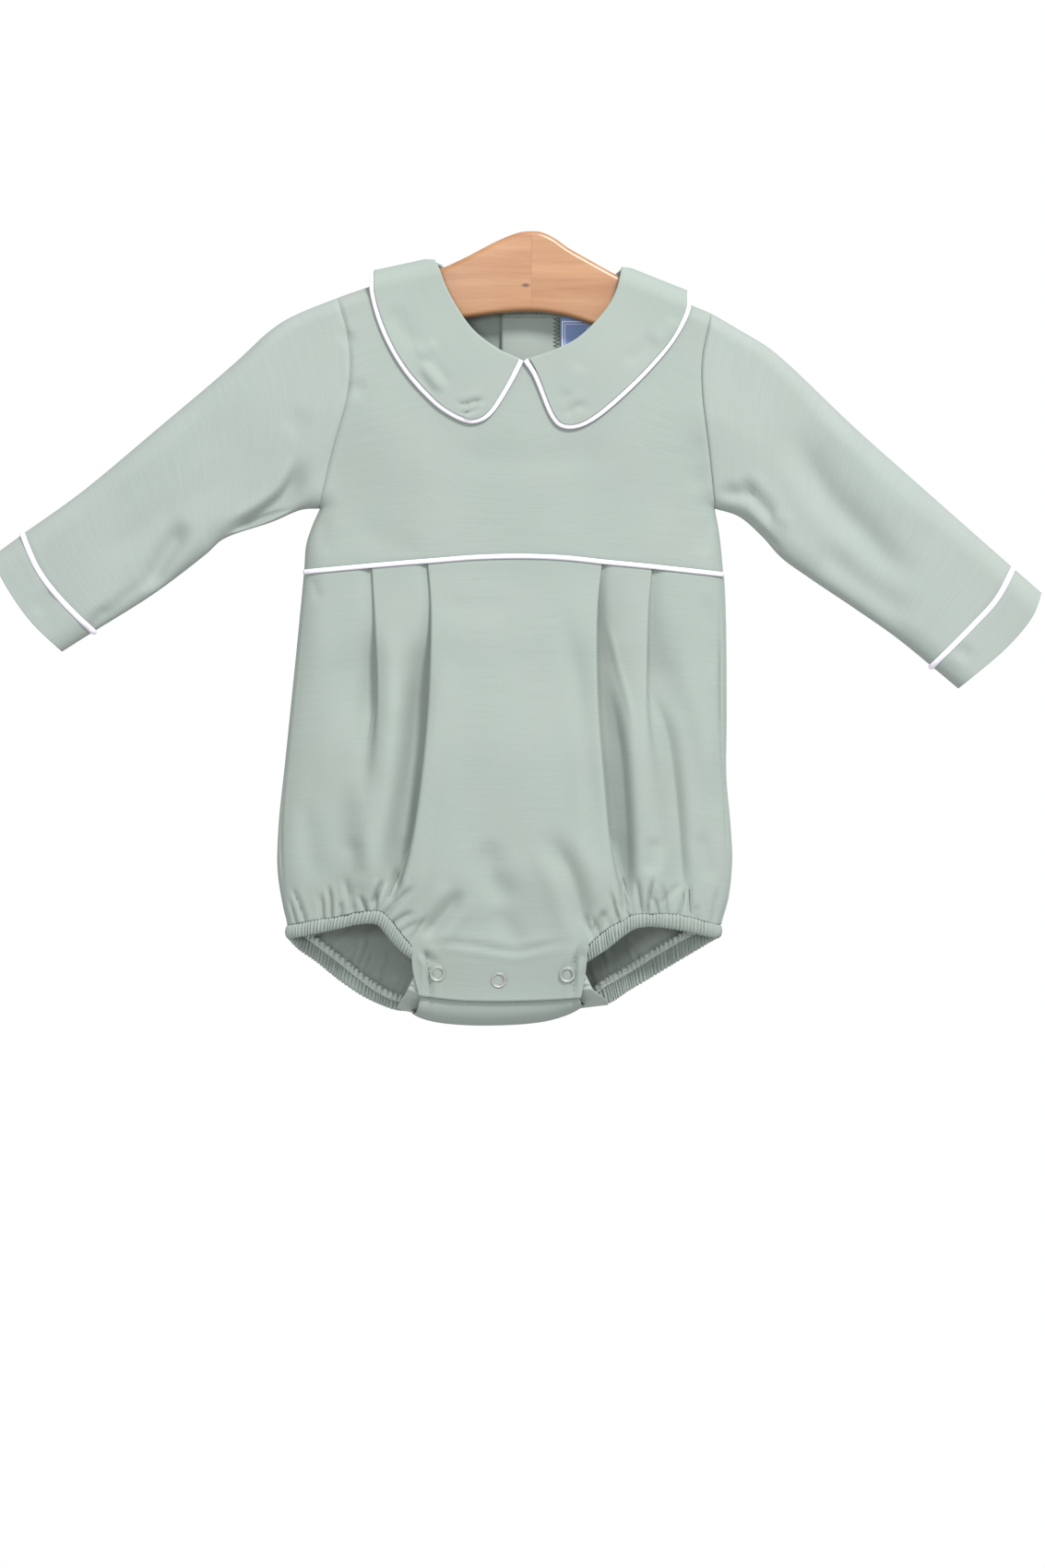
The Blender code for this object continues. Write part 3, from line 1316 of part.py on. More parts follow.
def build_hanger_half(name, outline, joint_x, wood, collection):
    """One board: its outline, given its thickness and a rounded edge but for the joint."""
    bm = bmesh.new()
    front = [
        bm.verts.new(Vector((p.x, -HANGER_HALF_THICKNESS, p.z)) * MM) for p in outline
    ]
    face = bm.faces.new(front)
    made = bmesh.ops.extrude_face_region(bm, geom=[face])
    moved_verts = [v for v in made["geom"] if isinstance(v, bmesh.types.BMVert)]
    bmesh.ops.translate(bm, verts=moved_verts, vec=(0.0, 2 * HANGER_HALF_THICKNESS * MM, 0.0))
    bmesh.ops.recalc_face_normals(bm, faces=bm.faces)
    rims = []
    for edge in bm.edges:
        a, b = edge.verts
        level = abs(a.co.y - b.co.y) / MM < SAME_PLACE
        at_joint = all(abs(v.co.x / MM - joint_x) < SAME_PLACE for v in edge.verts)
        if level and not at_joint:
            rims.append(edge)
    bmesh.ops.bevel(
        bm, geom=rims, offset=HANGER_EDGE * MM, segments=HANGER_EDGE_SEGMENTS, profile=0.5,
        affect="EDGES", material=-1,
    )
    mesh = bpy.data.meshes.new(name)
    bm.to_mesh(mesh)
    bm.free()
    mesh.shade_smooth()
    mesh.set_sharp_from_angle(angle=math.radians(HANGER_SHARP_ANGLE))
    return add_object(name, mesh, wood, collection)


def build_waist_piping(piping, collection):
    ends = [step / WAIST.length for step in PIPING_END_STEPS]
    steps = [i / WAIST_PIPING_STEPS for i in range(1, WAIST_PIPING_STEPS)]
    shares = ends[:-1] + [lerp(ends[-1], 1.0 - ends[-1], step) for step in [0.0] + steps + [1.0]]
    shares += [1.0 - share for share in ends[-2::-1]]
    path = []
    for share in shares:
        x, z = WAIST.at(share)
        lift = outward_normal(x, z, FRONT) * (LAY_GAP + PIPING_RADIUS)
        path.append(on_cloth(x, z, FRONT) + lift)
    add_tube("waist_piping", path, PIPING_RADIUS, piping, collection)


def main():
    clear_scene()
    romper = make_collection("bubble_romper")
    cloth = make_material("sage_jersey", (0.50, 0.57, 0.52), 0.85)
    piping = make_material("white_piping", (0.80, 0.79, 0.88), 0.6)
    label = make_material("blue_label", (0.12, 0.22, 0.42), 0.7)
    metal = make_material("snap_metal", (0.62, 0.62, 0.60), 0.3, 1.0)
    plastic = make_material("button_plastic", (0.72, 0.76, 0.72), 0.35)
    wood = make_material("hanger_wood", (0.70, 0.40, 0.24), 0.4)

    build_front_yoke(cloth, romper)
    build_front_skirt(cloth, romper)
    build_back_skirt(cloth, romper)
    build_waist_piping(piping, romper)
    for side in ("left", "right"):
        build_back_half(side, cloth, romper)
        build_sleeve(side, cloth, piping, romper)
        build_collar(side, cloth, piping, romper)
        build_bands(side, cloth, romper)
    inner_sheet(
        "back_placket_facing", PLACKET_LEFT_X + 0.6, PLACKET_RIGHT_X, BACK_PLACKET_TOP_Z,
        BACK_PLACKET_BOTTOM_Z, FACING_GRID, CLOTH_WALL, cloth, romper,
    )
    inner_sheet(
        "neck_label", LABEL_LEFT_X, LABEL_RIGHT_X, LABEL_TOP_Z, LABEL_BOTTOM_Z, LABEL_GRID,
        LABEL_WALL, label, romper,
    )
    build_snaps(metal, romper)
    build_buttons(plastic, romper)
    build_hanger_half("hanger_left_half", HANGER_LEFT, HANGER_LEFT[0].x, wood, romper)
    build_hanger_half("hanger_right_half", HANGER_RIGHT, HANGER_RIGHT[0].x, wood, romper)


main()
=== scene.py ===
"""Looks of a bubble romper with a round collar, hung on a wooden hanger.

Metres in the frame, +Z up, the front faces -Y, origin at the top of the hanger's crest.
Tables are in millimetres, seen from the front: x to the right, z up from the crest.
"""

import math
import random
from collections import namedtuple

import bmesh
import bpy
import numpy as np
from mathutils import Matrix, Vector


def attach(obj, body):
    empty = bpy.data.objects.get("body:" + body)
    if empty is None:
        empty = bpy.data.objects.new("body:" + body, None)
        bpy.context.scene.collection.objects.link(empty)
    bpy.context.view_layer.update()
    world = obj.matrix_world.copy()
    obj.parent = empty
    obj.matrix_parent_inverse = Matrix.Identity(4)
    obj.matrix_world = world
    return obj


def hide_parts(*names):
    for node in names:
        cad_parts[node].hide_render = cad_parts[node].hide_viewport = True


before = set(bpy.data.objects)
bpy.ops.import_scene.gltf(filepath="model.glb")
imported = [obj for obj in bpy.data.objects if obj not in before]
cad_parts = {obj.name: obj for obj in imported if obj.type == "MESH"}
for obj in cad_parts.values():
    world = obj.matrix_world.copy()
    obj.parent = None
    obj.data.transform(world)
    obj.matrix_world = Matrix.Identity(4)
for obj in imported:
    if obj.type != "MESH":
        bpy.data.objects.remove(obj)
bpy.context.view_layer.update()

MM = 0.001
SIDES = ("left", "right")
OUTWARD = {"left": -1.0, "right": 1.0}
FRONT, BACK = -1.0, 1.0

CLOTH_WALL, COLLAR_WALL, CUFF_WALL = 1.2, 1.6, 1.6
LAY_GAP = 0.35
# Half width of the seam between two panels, and half the gap between front and back.
SEAM_HALF, SHOULDER_SEAM_HALF = 0.03, 0.3
JOIN_DISTANCE = 0.000002

# ---------------------------------------------------------------- lines and flat patches


def lerp(a, b, share):
    return a + (b - a) * share


def smooth(share):
    share = np.clip(share, 0.0, 1.0)
    return share * share * (3.0 - 2.0 * share)


def arc(share):
    """Quarter circle from 0 at the folded edge to 1 a full rounding away from it."""
    return np.sqrt(np.maximum(0.0, 1.0 - (1.0 - np.clip(share, 0.0, 1.0)) ** 2))


def unit(vectors):
    return vectors / np.linalg.norm(vectors, axis=-1, keepdims=True)


def run_lengths(points):
    steps = np.linalg.norm(np.diff(points, axis=0), axis=1)
    return np.concatenate([[0.0], np.cumsum(steps)])


def read_at(points, lengths, at):
    return np.stack([np.interp(at, lengths, column) for column in points.T], axis=-1)


class Line:
    """A smooth line through a few points, read by its share of length."""

    def __init__(self, points, samples=8):
        self.knots = knots = np.array(points, float)
        padded = np.vstack([2 * knots[0] - knots[1], knots, 2 * knots[-1] - knots[-2]])
        spans = [self.span(padded[i:i + 4], samples) for i in range(len(knots) - 1)]
        self.points = np.vstack([knots[:1]] + spans)
        self.lengths = run_lengths(self.points)
        self.length = self.lengths[-1]

    @staticmethod
    def span(knots, samples):
        """Centripetal spline between the two middle knots."""
        t = [0.0]
        for a, b in zip(knots, knots[1:]):
            t.append(t[-1] + max(np.linalg.norm(b - a), 1e-6) ** 0.5)
        at = lerp(t[1], t[2], np.arange(1, samples + 1) / samples)[:, None]

        def mix(a, b, i, j):
            return a * (t[j] - at) / (t[j] - t[i]) + b * (at - t[i]) / (t[j] - t[i])

        thirds = [mix(knots[i], knots[i + 1], i, i + 1) for i in range(3)]
        return mix(mix(*thirds[:2], 0, 2), mix(*thirds[1:], 1, 3), 1, 2)

    def at(self, share):
        return read_at(self.points, self.lengths, np.clip(share, 0.0, 1.0) * self.length)

    def share_at(self, axis, value):
        """The share of length where the line first passes a value of x (0) or z (1)."""
        values = self.points[:, axis]
        for i in range(1, len(values)):
            a, b = values[i - 1], values[i]
            if (a - value) * (b - value) <= 0.0 and a != b:
                run = self.lengths[i] - self.lengths[i - 1]
                return (self.lengths[i - 1] + run * (value - a) / (b - a)) / self.length
        return 1.0

    def near(self, x, z):
        """Distance of each point from the line, and the share of length nearest to it."""
        best = np.full(np.shape(x), 1e9)
        share = np.zeros(np.shape(x))
        for (ax, az), (bx, bz), length in zip(self.points, self.points[1:], self.lengths):
            dx, dz = bx - ax, bz - az
            run = math.hypot(dx, dz)
            if not run:
                continue
            part = np.clip(((x - ax) * dx + (z - az) * dz) / run ** 2, 0.0, 1.0)
            gap = np.hypot(x - ax - dx * part, z - az - dz * part)
            closer = gap < best
            best = np.where(closer, gap, best)
            share = np.where(closer, (length + part * run) / self.length, share)
        return best, share

    def part(self, start, end, count):
        return self.at(np.linspace(start, end, count))


def patch(bottom, top, left, right, us, vs):
    """Flat points between four edges that share their corners, rows from bottom to top.

    us has one share for each column, vs one for each row or for each row and column.
    """
    if np.ndim(vs) == 1:
        vs = np.repeat(np.asarray(vs, float)[:, None], len(us), axis=1)
    u, v = us[None, :, None], vs[:, :, None]
    low, high = (
        edge[0] * (1 - u) + edge[1] * u for edge in (bottom(CORNERS), top(CORNERS))
    )
    across = bottom(us)[None] * (1 - v) + top(us)[None] * v
    along = left(vs) * (1 - u) + right(vs) * u
    return across + along - (low * (1 - v) + high * v)


CORNERS = np.array([0.0, 1.0])


def denser(shares, count):
    """More shares, as close together as the given ones are at each place."""
    return np.interp(np.linspace(0.0, len(shares) - 1.0, count), np.arange(len(shares)), shares)


def table(columns, *numbers):
    return np.array(numbers, float).reshape(-1, columns)


def pairs(*numbers):
    """Points from a run of numbers: x, z, x, z and so on."""
    return table(2, *numbers)


def curve(*numbers):
    return Line(pairs(*numbers))


Crease = namedtuple("Crease", "line height width beside lean", defaults=(1.0,))


def crease(height, width, beside, *numbers, lean=1.0):
    """Its height in its middle (below zero: a trough), half width, how much the cloth rises
    again beside it, points, and how many times wider it is on its right."""
    return Crease(Line(pairs(*numbers), 4), height, width, beside, lean)


# ---------------------------------------------------------------- outline tables

# Folded edges of the cloth: along the shoulder and over the sleeve to the cuff hem, from
# the cuff hem under the sleeve to the armpit, and down the side to the leg casing.
TOP_FOLD = {
    "left": curve(
        -61, -22.1, -97, -33.1, -115.5, -39.6, -144.3, -51.5, -156, -59.2, -177.9, -79.3,
        -224.6, -118.9, -269, -155.9, -303.3, -180.4, -322.2, -194.2
    ),
    "right": curve(
        58.5, -25.9, 94.9, -43.8, 107, -49, 123.5, -58.5, 140.6, -68.8, 153.8, -79.8,
        191.2, -115.6, 239.8, -158.9, 287, -200.6, 304, -215.5
    ),
}
UNDER_FOLD = {
    "left": curve(
        -280, -250.6, -261, -238.6, -224.6, -215.7, -193.5, -192, -184, -183.6, -154.8, -173.3,
        -137, -166, -126.2, -165.3
    ),
    "right": curve(
        254.4, -272.6, 238.5, -259.3, 216.5, -241.5, 191.2, -223.9, 165.9, -206.9, 148.8, -194.5,
        137.3, -181.8, 123.5, -170, 109.2, -165.3
    ),
}
SIDE_FOLD = {
    "left": curve(
        -126.2, -165.3, -131, -176.1, -134.4, -187, -135.6, -202, -140, -248, -147.2, -318.5,
        -151, -356, -151.5, -381, -148.2, -402.7, -145.8, -413, -145.5, -422
    ),
    "right": curve(
        109.2, -165.3, 112, -181, 114.2, -204, 115.4, -234, 115.8, -290, 115.6, -325, 118, -353,
        119.1, -375, 117, -397, 113, -412, 111, -421.5
    ),
}
# Seams, from top to bottom or from left to right.
ARMHOLE = {
    "left": curve(
        -115.5, -39.6, -109.6, -60.6, -107.5, -77.6, -108.8, -97.4, -118.5, -132.6, -126.2, -165.3
    ),
    "right": curve(107, -49, 101.6, -74.9, 101.3, -95.2, 105.9, -134.3, 109.2, -165.3),
}
WAIST = curve(
    -135.6, -203.4, -94.8, -199.7, -60.7, -197, -32.1, -194.8, -3.5, -194.2, 21.2, -195.3,
    42.1, -197.5, 71.3, -200.3, 114.2, -204.9
)
NECKLINE = {
    FRONT: curve(
        -61, -22.1, -56, -30.5, -50, -41, -43, -52.4, -35, -61.2, -20.4, -72.6, -4.6, -77.6,
        14.4, -72.8, 27.6, -66, 39, -57, 49, -45, 55, -34.5, 58.5, -25.9
    ),
    BACK: curve(-61, -22.1, -46, -29.6, -24, -35.2, -2, -36.8, 20, -36.4, 43, -31.6, 58.5, -25.9),
}
CUFF_SEAM = {
    "left": curve(-303.3, -180.4, -293.5, -202.4, -279.5, -220.4, -261, -238.6),
    "right": curve(287, -200.6, 276.4, -220, 261.2, -236.6, 238.5, -259.3),
}
CUFF_HEM = {
    "left": curve(-322.2, -194.2, -311.5, -214, -298.3, -232.7, -280, -250.6),
    "right": curve(304, -215.5, 298.4, -229.4, 285, -246.2, 254.4, -272.6),
}

# The collar's fold over the shoulder, and for each half its neck edge, its outer edge and
# its free end, with the piping. The back half is seen through the garment.
COLLAR_RIDGE = {
    "left": pairs(-57.4, -16.8, -95.9, -25.2),
    "right": pairs(53.1, -21, 94.4, -37.4),
}
COLLARS = {
    ("left", FRONT): (
        pairs(
            -57.4, -16.8, -54.8, -23, -50.8, -33.7, -45.9, -43.2, -34.3, -59.8, -18.6, -71.6,
            -7.6, -76.4
        ),
        pairs(
            -95.9, -25.2, -95.9, -36.4, -89.3, -59.5, -75.6, -84.2, -57.4, -104, -47.5, -110.8,
            -40.9, -113.9, -34.9, -115
        ),
        pairs(-34.9, -115, -28.8, -113.4, -23.3, -109, -12, -91.4, -5.1, -78.2),
    ),
    ("left", BACK): (
        pairs(-57.4, -16.8, -52.2, -21.2, -44, -27.2, -24, -33.8, -7, -35.6),
        pairs(-95.9, -25.2, -94.5, -40, -85, -56, -66, -67, -44, -73, -24, -75.5, -14, -74.6),
        pairs(-14, -74.6, -6.4, -69.5, -4.2, -58, -4, -36.4),
    ),
    ("right", FRONT): (
        pairs(53.1, -21, 52.5, -26.4, 50.5, -35.1, 44.1, -47.2, 26.4, -65, 8, -73.4, -1.4, -76.4),
        pairs(
            94.4, -37.4, 94.1, -47.4, 85, -65.5, 68, -85.9, 46.5, -106.2, 36.1, -113.8,
            28.9, -117.2, 22.3, -118.3
        ),
        pairs(22.3, -118.3, 16.3, -116.7, 11.6, -111.4, 0.9, -86.4, -4.6, -78.2),
    ),
    ("right", BACK): (
        pairs(53.1, -21, 49.4, -25.6, 41, -29.8, 20, -35, 3.2, -35.8),
        pairs(94.4, -37.4, 92.6, -52, 82, -66, 64, -75, 44, -79, 24, -79, 11, -76),
        pairs(11, -76, 2.6, -70, 0.4, -58, 0.2, -36.6),
    ),
}

# Lower edge of the front skirt over each leg, and round the snap tab between them with the
# number of columns of each edge.
HEM = {
    "left": curve(
        -143.6, -413.4, -128.9, -410.6, -114.9, -408.4, -102.5, -405.6, -91.2, -405.1,
        -87.7, -406.7, -82.7, -411.7, -77.2, -418.8, -71.4, -425.6
    ),
    "right": curve(
        34, -424.8, 39.4, -420.3, 45.4, -415.3, 53.1, -411.5, 60.3, -407.7, 71.3, -406.9,
        85, -407.1, 96.6, -409.6, 110.2, -413.4
    ),
}
TAB_EDGES = (
    (curve(-71.4, -425.6, -70.8, -439.5, -67, -455.6), 18),
    (curve(-67, -455.6, -43.7, -458.2, -19.5, -458.8, 6, -458.2, 29.2, -456.8), 60),
    (curve(29.2, -456.8, 31.4, -446, 34, -424.8), 18),
)
# Lower edge of the back skirt, and the fold of its crotch extension seen from the front.
BACK_HEM = {
    "left": curve(
        -145.8, -413.4, -138, -417.2, -128.9, -424, -114.9, -435.2, -100.9, -446.6, -89, -454,
        -75, -459.4
    ),
    "right": curve(
        34, -455.6, 42, -450.4, 57.5, -442, 80.1, -427.6, 96, -418.4, 104.6, -415.2, 112.6, -413.4
    ),
}
CROTCH_FOLD = curve(
    -74.6, -464.3, -67.3, -468.7, -58, -471.4, -43.7, -473.1, -25, -473.6, -1.9, -472.5,
    11.9, -470.3, 24, -466.2, 33.6, -460.6
)

# Knife pleats of the front, from left to right. Shares of the skirt's length say where the
# overlap is used up and where the folded edge opens into a slope of the given width. The
# layers beneath the folded edge lie deeper by the step. hollow: how much deeper the cloth
# lies beside the edge than the fold itself, how quickly that ends away from the edge, and
# where it starts, is full and ends down the skirt.
Pleat = namedtuple(
    "Pleat", "waist_x line hem_x overlap lapped slopes_from slopes_to width step low_step hollow"
)
PLEATS = (
    Pleat(
        -94.8, pairs(-92.6, -237, -90.6, -290, -90.4, -335), -101,
        10, 0.42, 0.26, 0.75, 15, 4.4, 1.8, hollow=(4.8, 2.2, 0.08, 0.4, 0.52),
    ),
    Pleat(
        -61.5, pairs(-59.4, -225, -60.7, -276, -65.7, -332, -73.6, -384), -82.7,
        11, 0.86, 0.62, 1, 5.5, 4.4, 6.5, hollow=(7.2, 1.3, 0.08, 0.4, 0.97),
    ),
    Pleat(
        41.6, pairs(38.6, -225, 38.8, -276, 43, -332, 47.6, -384), 53.1,
        11, 0.86, 0.62, 1, 7, 4.4, 6.5, hollow=(6.6, 0.9, 0.0, 0.2, 0.97),
    ),
    Pleat(
        71.3, pairs(69.1, -227, 68, -290, 68.6, -335), 77,
        10, 0.42, 0.26, 0.75, 15, 4.4, 3, hollow=(4.4, 2.2, 0.0, 0.3, 0.48),
    ),
)

# Leg casings: the seam edge and the free edge, x and z each, from behind the front tab round
# the side to the back and under the crotch.
CASINGS = {
    ("left", FRONT): table(
        4, -66.5, -429, -69, -436, -72.6, -425.4, -75, -431, -77.9, -419.4, -79.2, -427.4,
        -83.5, -412.2, -84.8, -421.4, -88, -407.6, -88.9, -416, -91.4, -406, -92.3, -413,
        -102.5, -406.6, -101.6, -412.8, -114.9, -409.4, -114.6, -415.6,
        -128.9, -411.5, -128.9, -418.7, -139.4, -413.8, -139, -420.6,
        -145.8, -414.6, -145.5, -421.6
    ),
    ("left", BACK): table(
        4, -145.8, -414.6, -145.5, -421.6, -138.4, -418.4, -140.6, -427.4,
        -129.6, -425, -129.4, -435.4, -115.6, -436.2, -115.4, -446.8,
        -101.6, -447.6, -101.2, -456.4, -89.6, -455.2, -91.2, -461.2, -77.4, -459.6, -79.6, -465,
        -65, -458, -66.5, -465
    ),
    ("right", FRONT): table(
        4, 30, -428, 31.5, -437.5, 35.2, -425, 36.2, -433.4, 40.1, -421.2, 44, -428.3,
        46, -416.2, 53, -421.2, 53.4, -412.5, 60.6, -416.2, 60.4, -408.6, 64.6, -415,
        71.3, -407.8, 71.8, -414.4, 85, -408, 85, -416, 96.6, -410.6, 96.2, -418.4,
        106.4, -413.2, 106, -420.6, 112.6, -414.6, 111.4, -421.4
    ),
    ("right", BACK): table(
        4, 112.6, -414.6, 111.4, -421.4, 104.8, -416.4, 103.4, -426.2, 96.4, -419.4, 89.6, -434.4,
        80.4, -428.8, 71.3, -445.6, 57.8, -443.2, 57.5, -453.8, 43, -451.4, 47.6, -460.2,
        36.4, -456.2, 39, -462.2, 26, -456, 27.5, -463
    ),
}
# The casing's end that turns up in front of the crotch fold and goes under the tab: its
# seam edge, its free edge and how far forward it lies, from the tab down and back.
CASING_TURNS = {
    "left": table(
        5, -66, -441, -67.5, -440, 1, -66.4, -448, -71.4, -446.6, 1, -66, -454.6, -74.8, -453.6, 1,
        -65, -461, -78, -458.6, 0.96, -65, -465.6, -80.2, -462.2, 0.75,
        -65, -467.8, -81, -464.2, 0.4, -65, -467, -80.6, -464, 0
    ),
    "right": table(
        5, 28.5, -441, 31, -440, 1, 28.8, -447, 33.8, -446, 1, 28.4, -453.4, 37.2, -452.4, 1,
        27.4, -458.6, 42, -456.8, 0.96, 27.4, -462.2, 45, -459.8, 0.75,
        27.4, -464, 46, -461.6, 0.4, 27.4, -463.4, 45.4, -461.4, 0
    ),
}

# Ring snaps of the front tab, and back buttons on the placket.
SNAP_CENTRES = pairs(-55.8, -441.7, -19.5, -445.6, 21.2, -442.3)
BUTTON_CENTRES = pairs(-1.5, -78, -1.5, -120, -1.5, -162)
# The two glued boards of the hanger.
HANGER = {
    "left": pairs(
        -0.15, 0, -5, -0.3, -10, -1.6, -16.5, -4.1, -24, -7.6, -37.6, -14.8, -53, -22, -75, -30,
        -100, -38.8, -125, -47.8, -140, -53.2, -147.6, -57.6, -151.2, -64.4, -147.6, -71.4,
        -140, -74.2, -100, -64.6, -60, -56, -40.9, -52.3, -24, -49.5, -7, -48.1, -0.15, -48
    ),
    "right": pairs(
        0.15, 0, 4.4, -0.3, 9, -1.8, 14.8, -4.9, 21.2, -9.6, 35, -17.5, 52, -26.8, 75, -37.8,
        100, -49.8, 114, -56.8, 126, -64.6, 134.6, -70.8, 138.8, -77.2, 136, -83.8, 128.4, -86.4,
        95, -75.6, 60, -64.2, 37.7, -56.4, 22.3, -51.1, 8.6, -48.6, 0.15, -48
    ),
}

# ---------------------------------------------------------------- creases of the cloth
FRONT_CREASES = [
    # armpit of the left sleeve
    crease(-6.8, 3.2, 0.35, -184, -186, -175, -177.6, -166.5, -172.4, -155.8, -165, -147, -157,
        -139, -142, -136.5, -134, lean=2.8),
    crease(-2.8, 1.3, 0.2, -141, -165.4, -152, -168.2, -161, -171.4, -172, -176.4, -182, -183),
    crease(-1.3, 6, 0, -136.1, -107.3, -139.9, -113.9, -145.4, -120.5),
    # left sleeve
    crease(-5.6, 6.4, 0.2, -205, -172, -212, -184, -219, -195, -225, -206, -231, -217),
    crease(-1.5, 3.8, 0.1, -222, -206, -236, -214, -250, -226, -262, -239),
    crease(1.3, 12, 0, -156.4, -79.3, -185, -104, -223.5, -132.6, -267.5, -161.8),
    crease(-1.2, 9, 0.3, -172.9, -137, -204.3, -161.8, -234.5, -181, -264.8, -198.6),
    crease(-1.6, 3, 0.3, -251, -222.3, -259.3, -231.6, -266.4, -241.5),
    crease(-1, 4, 0.3, -284, -214, -290.6, -222.3, -295, -229.4),
    # armpit of the right sleeve
    crease(-3, 4, 0.3, 108.7, -151.9, 115.3, -155.7, 123, -156.8, 131.2, -158.5, 138.9, -165.6,
        147.7, -178.3),
    crease(-2, 3.4, 0.4, 126.3, -148, 129.6, -154.1, 132.9, -159.6),
    crease(-2, 2.2, 0.2, 123, -167.3, 131.2, -175, 141.7, -184.9, 150.5, -193.1),
    crease(1.2, 3, 0, 141.1, -168.4, 148.3, -171.1, 157.1, -176.1),
    # right sleeve
    crease(-2.9, 7.5, 0.5, 150.5, -113.9, 156, -123.8, 163.7, -137.6, 175.8, -157.4, 197.2, -180.5,
        212.6, -197.5, 235.7, -214),
    crease(2.6, 12, 0, 164.8, -93, 186.2, -124.5, 210.1, -156, 242, -184.3),
    crease(-2.4, 8, 0.3, 167, -186.5, 189, -204.1, 213.7, -222.3, 227.5, -236),
    crease(-1.3, 3.5, 0.3, 252.2, -247, 257.2, -251.4, 261.6, -255.8),
    # yoke
    crease(-1, 3, 0.3, -115.7, -60, -110.8, -63.3, -103.6, -66.6),
    crease(-1, 4, 0.3, -112.4, -95.8, -105.8, -94.1, -97, -95.2),
    crease(-1, 10, 0, -58.5, -131.5, -20, -137, 18.5, -135.9, 57, -129.3),
    crease(-0.8, 8, 0, -108, -170, -86, -186.5, -58.5, -192),
    crease(-1, 5, 0, -125.6, -170, -123.4, -181, -124.5, -194.2),
    crease(-1.2, 5, 0, 106.5, -170, 103.2, -183.8, 105.4, -194.2),
    crease(-1, 7, 0, 103.7, -120.5, 96.6, -137, 99.3, -159),
    # left of the pleats
    crease(-3, 6.5, 0.1, -93.4, -232, -94.4, -256, -96, -280, -98, -303, -100.5, -330),
    crease(3, 8, 0, -103, -318, -101.5, -345, -100.5, -370, -100, -398),
    crease(1.8, 12, 0, -127.3, -214, -123.4, -247, -123.4, -296.5, -127.3, -346),
    crease(-1.8, 5.5, 0.3, -108.6, -359.8, -103.1, -376.3, -101.4, -388.9),
    crease(-0.8, 2.6, 0, -130.5, -206, -128.4, -214, -125.6, -222.3),
    crease(-1.3, 6, 0.3, -135.5, -335, -131.7, -368, -127.3, -391.1),
    # between the left pleats
    crease(-5.2, 6.6, 0.2, -65.5, -240, -67, -270, -70, -300, -74.5, -325, -78.5, -347, -82, -370,
        -84.5, -388, -86, -404),
    crease(-1.6, 2.2, 0.3, -79.5, -378, -79.8, -386, -79, -394),
    crease(1.2, 7, 0, -83.8, -236, -81.6, -269, -81.6, -302),
    crease(-2.4, 1.8, 0.5, -87.8, -385.6, -91.5, -394, -95, -402.7),
    # middle panel
    crease(-2.6, 8, 0.3, -22.2, -360.3, -25, -370.8, -25.5, -382.3, -17.3, -393.3, -8, -404),
    crease(-3.4, 4.6, 0.6, -41, -391, -45, -398, -50.7, -405.2, -56.7, -412.5, -66, -421.8),
    crease(-3.4, 6, 0.5, 8, -356, 17.9, -374.1, 24, -385.6, 30.6, -408.7, 35, -424.7),
    crease(-2, 7, 0, 15.2, -214, 25.1, -258, 31.7, -302, 36.1, -346, 38, -380),
    crease(-0.8, 7, 0, -58.5, -219.5, -42, -225, -9, -223.4),
    crease(1, 10, 0, -49.7, -247, -50.8, -302, -58.5, -357),
    crease(-1, 2, 0.7, -69.5, -428.5, -60.2, -424.7, -50.8, -423.6, -33.4, -425.3, -9.6, -429,
        5.3, -426.3, 18.5, -423.6, 32.2, -424.1),
    crease(-1.5, 1.6, 0.6, -68, -426, -63, -432, -61.4, -438.3, -60, -462),
    crease(-1.5, 1.6, 0.6, 31, -424, 26.5, -431, 25.3, -437, 24.7, -462),
    crease(-1.8, 2.2, 0.4, -65.1, -428.5, -60.7, -432.4, -56.3, -437.9),
    crease(-1.6, 7, 0, -24, -402, -14.2, -414.4, -5.7, -430.5),
    crease(-1.2, 2.4, 0.4, 32.8, -428.5, 27.3, -434, 22.9, -440.6),
    crease(-2.2, 2.2, 0.4, 42.7, -403.8, 40.5, -412, 37.7, -418.6),
    # between the right pleats
    crease(-4, 3.8, 0.2, 43, -262, 46.5, -276, 50, -291, 53, -310, 54.8, -330, 56.4, -357,
        57.2, -380, 57.6, -400, 58, -412, lean=2.5),
    crease(0.8, 1.9, 0, 42.5, -228, 47, -240, 52, -260, 58.6, -284, 61.5, -305),
    crease(-1.8, 5, 0.3, 73.5, -359.8, 71.8, -372.4, 69.6, -384.5),
    crease(-2, 1.8, 0.4, 53.7, -384.5, 54.8, -398.3, 57, -407.6),
    # right of the pleats
    crease(-3.9, 4.2, 0.2, 68.5, -268, 74.5, -284, 80.1, -297.6, 84, -322, 86.5, -345, 88.5, -376,
        90, -410, lean=2.2),
    crease(-1.4, 1.6, 0.1, 76, -402, 82, -395, 90, -388),
    crease(1.8, 8, 0, 80.1, -241.5, 92.7, -270.1, 102.1, -302, 105.4, -340.5),
    crease(-1.3, 4.5, 0.3, 99.3, -357, 103.7, -373.5, 106.5, -390),
    crease(-1.2, 5, 0, 103.7, -214, 107.6, -241.5, 106.5, -269),
]
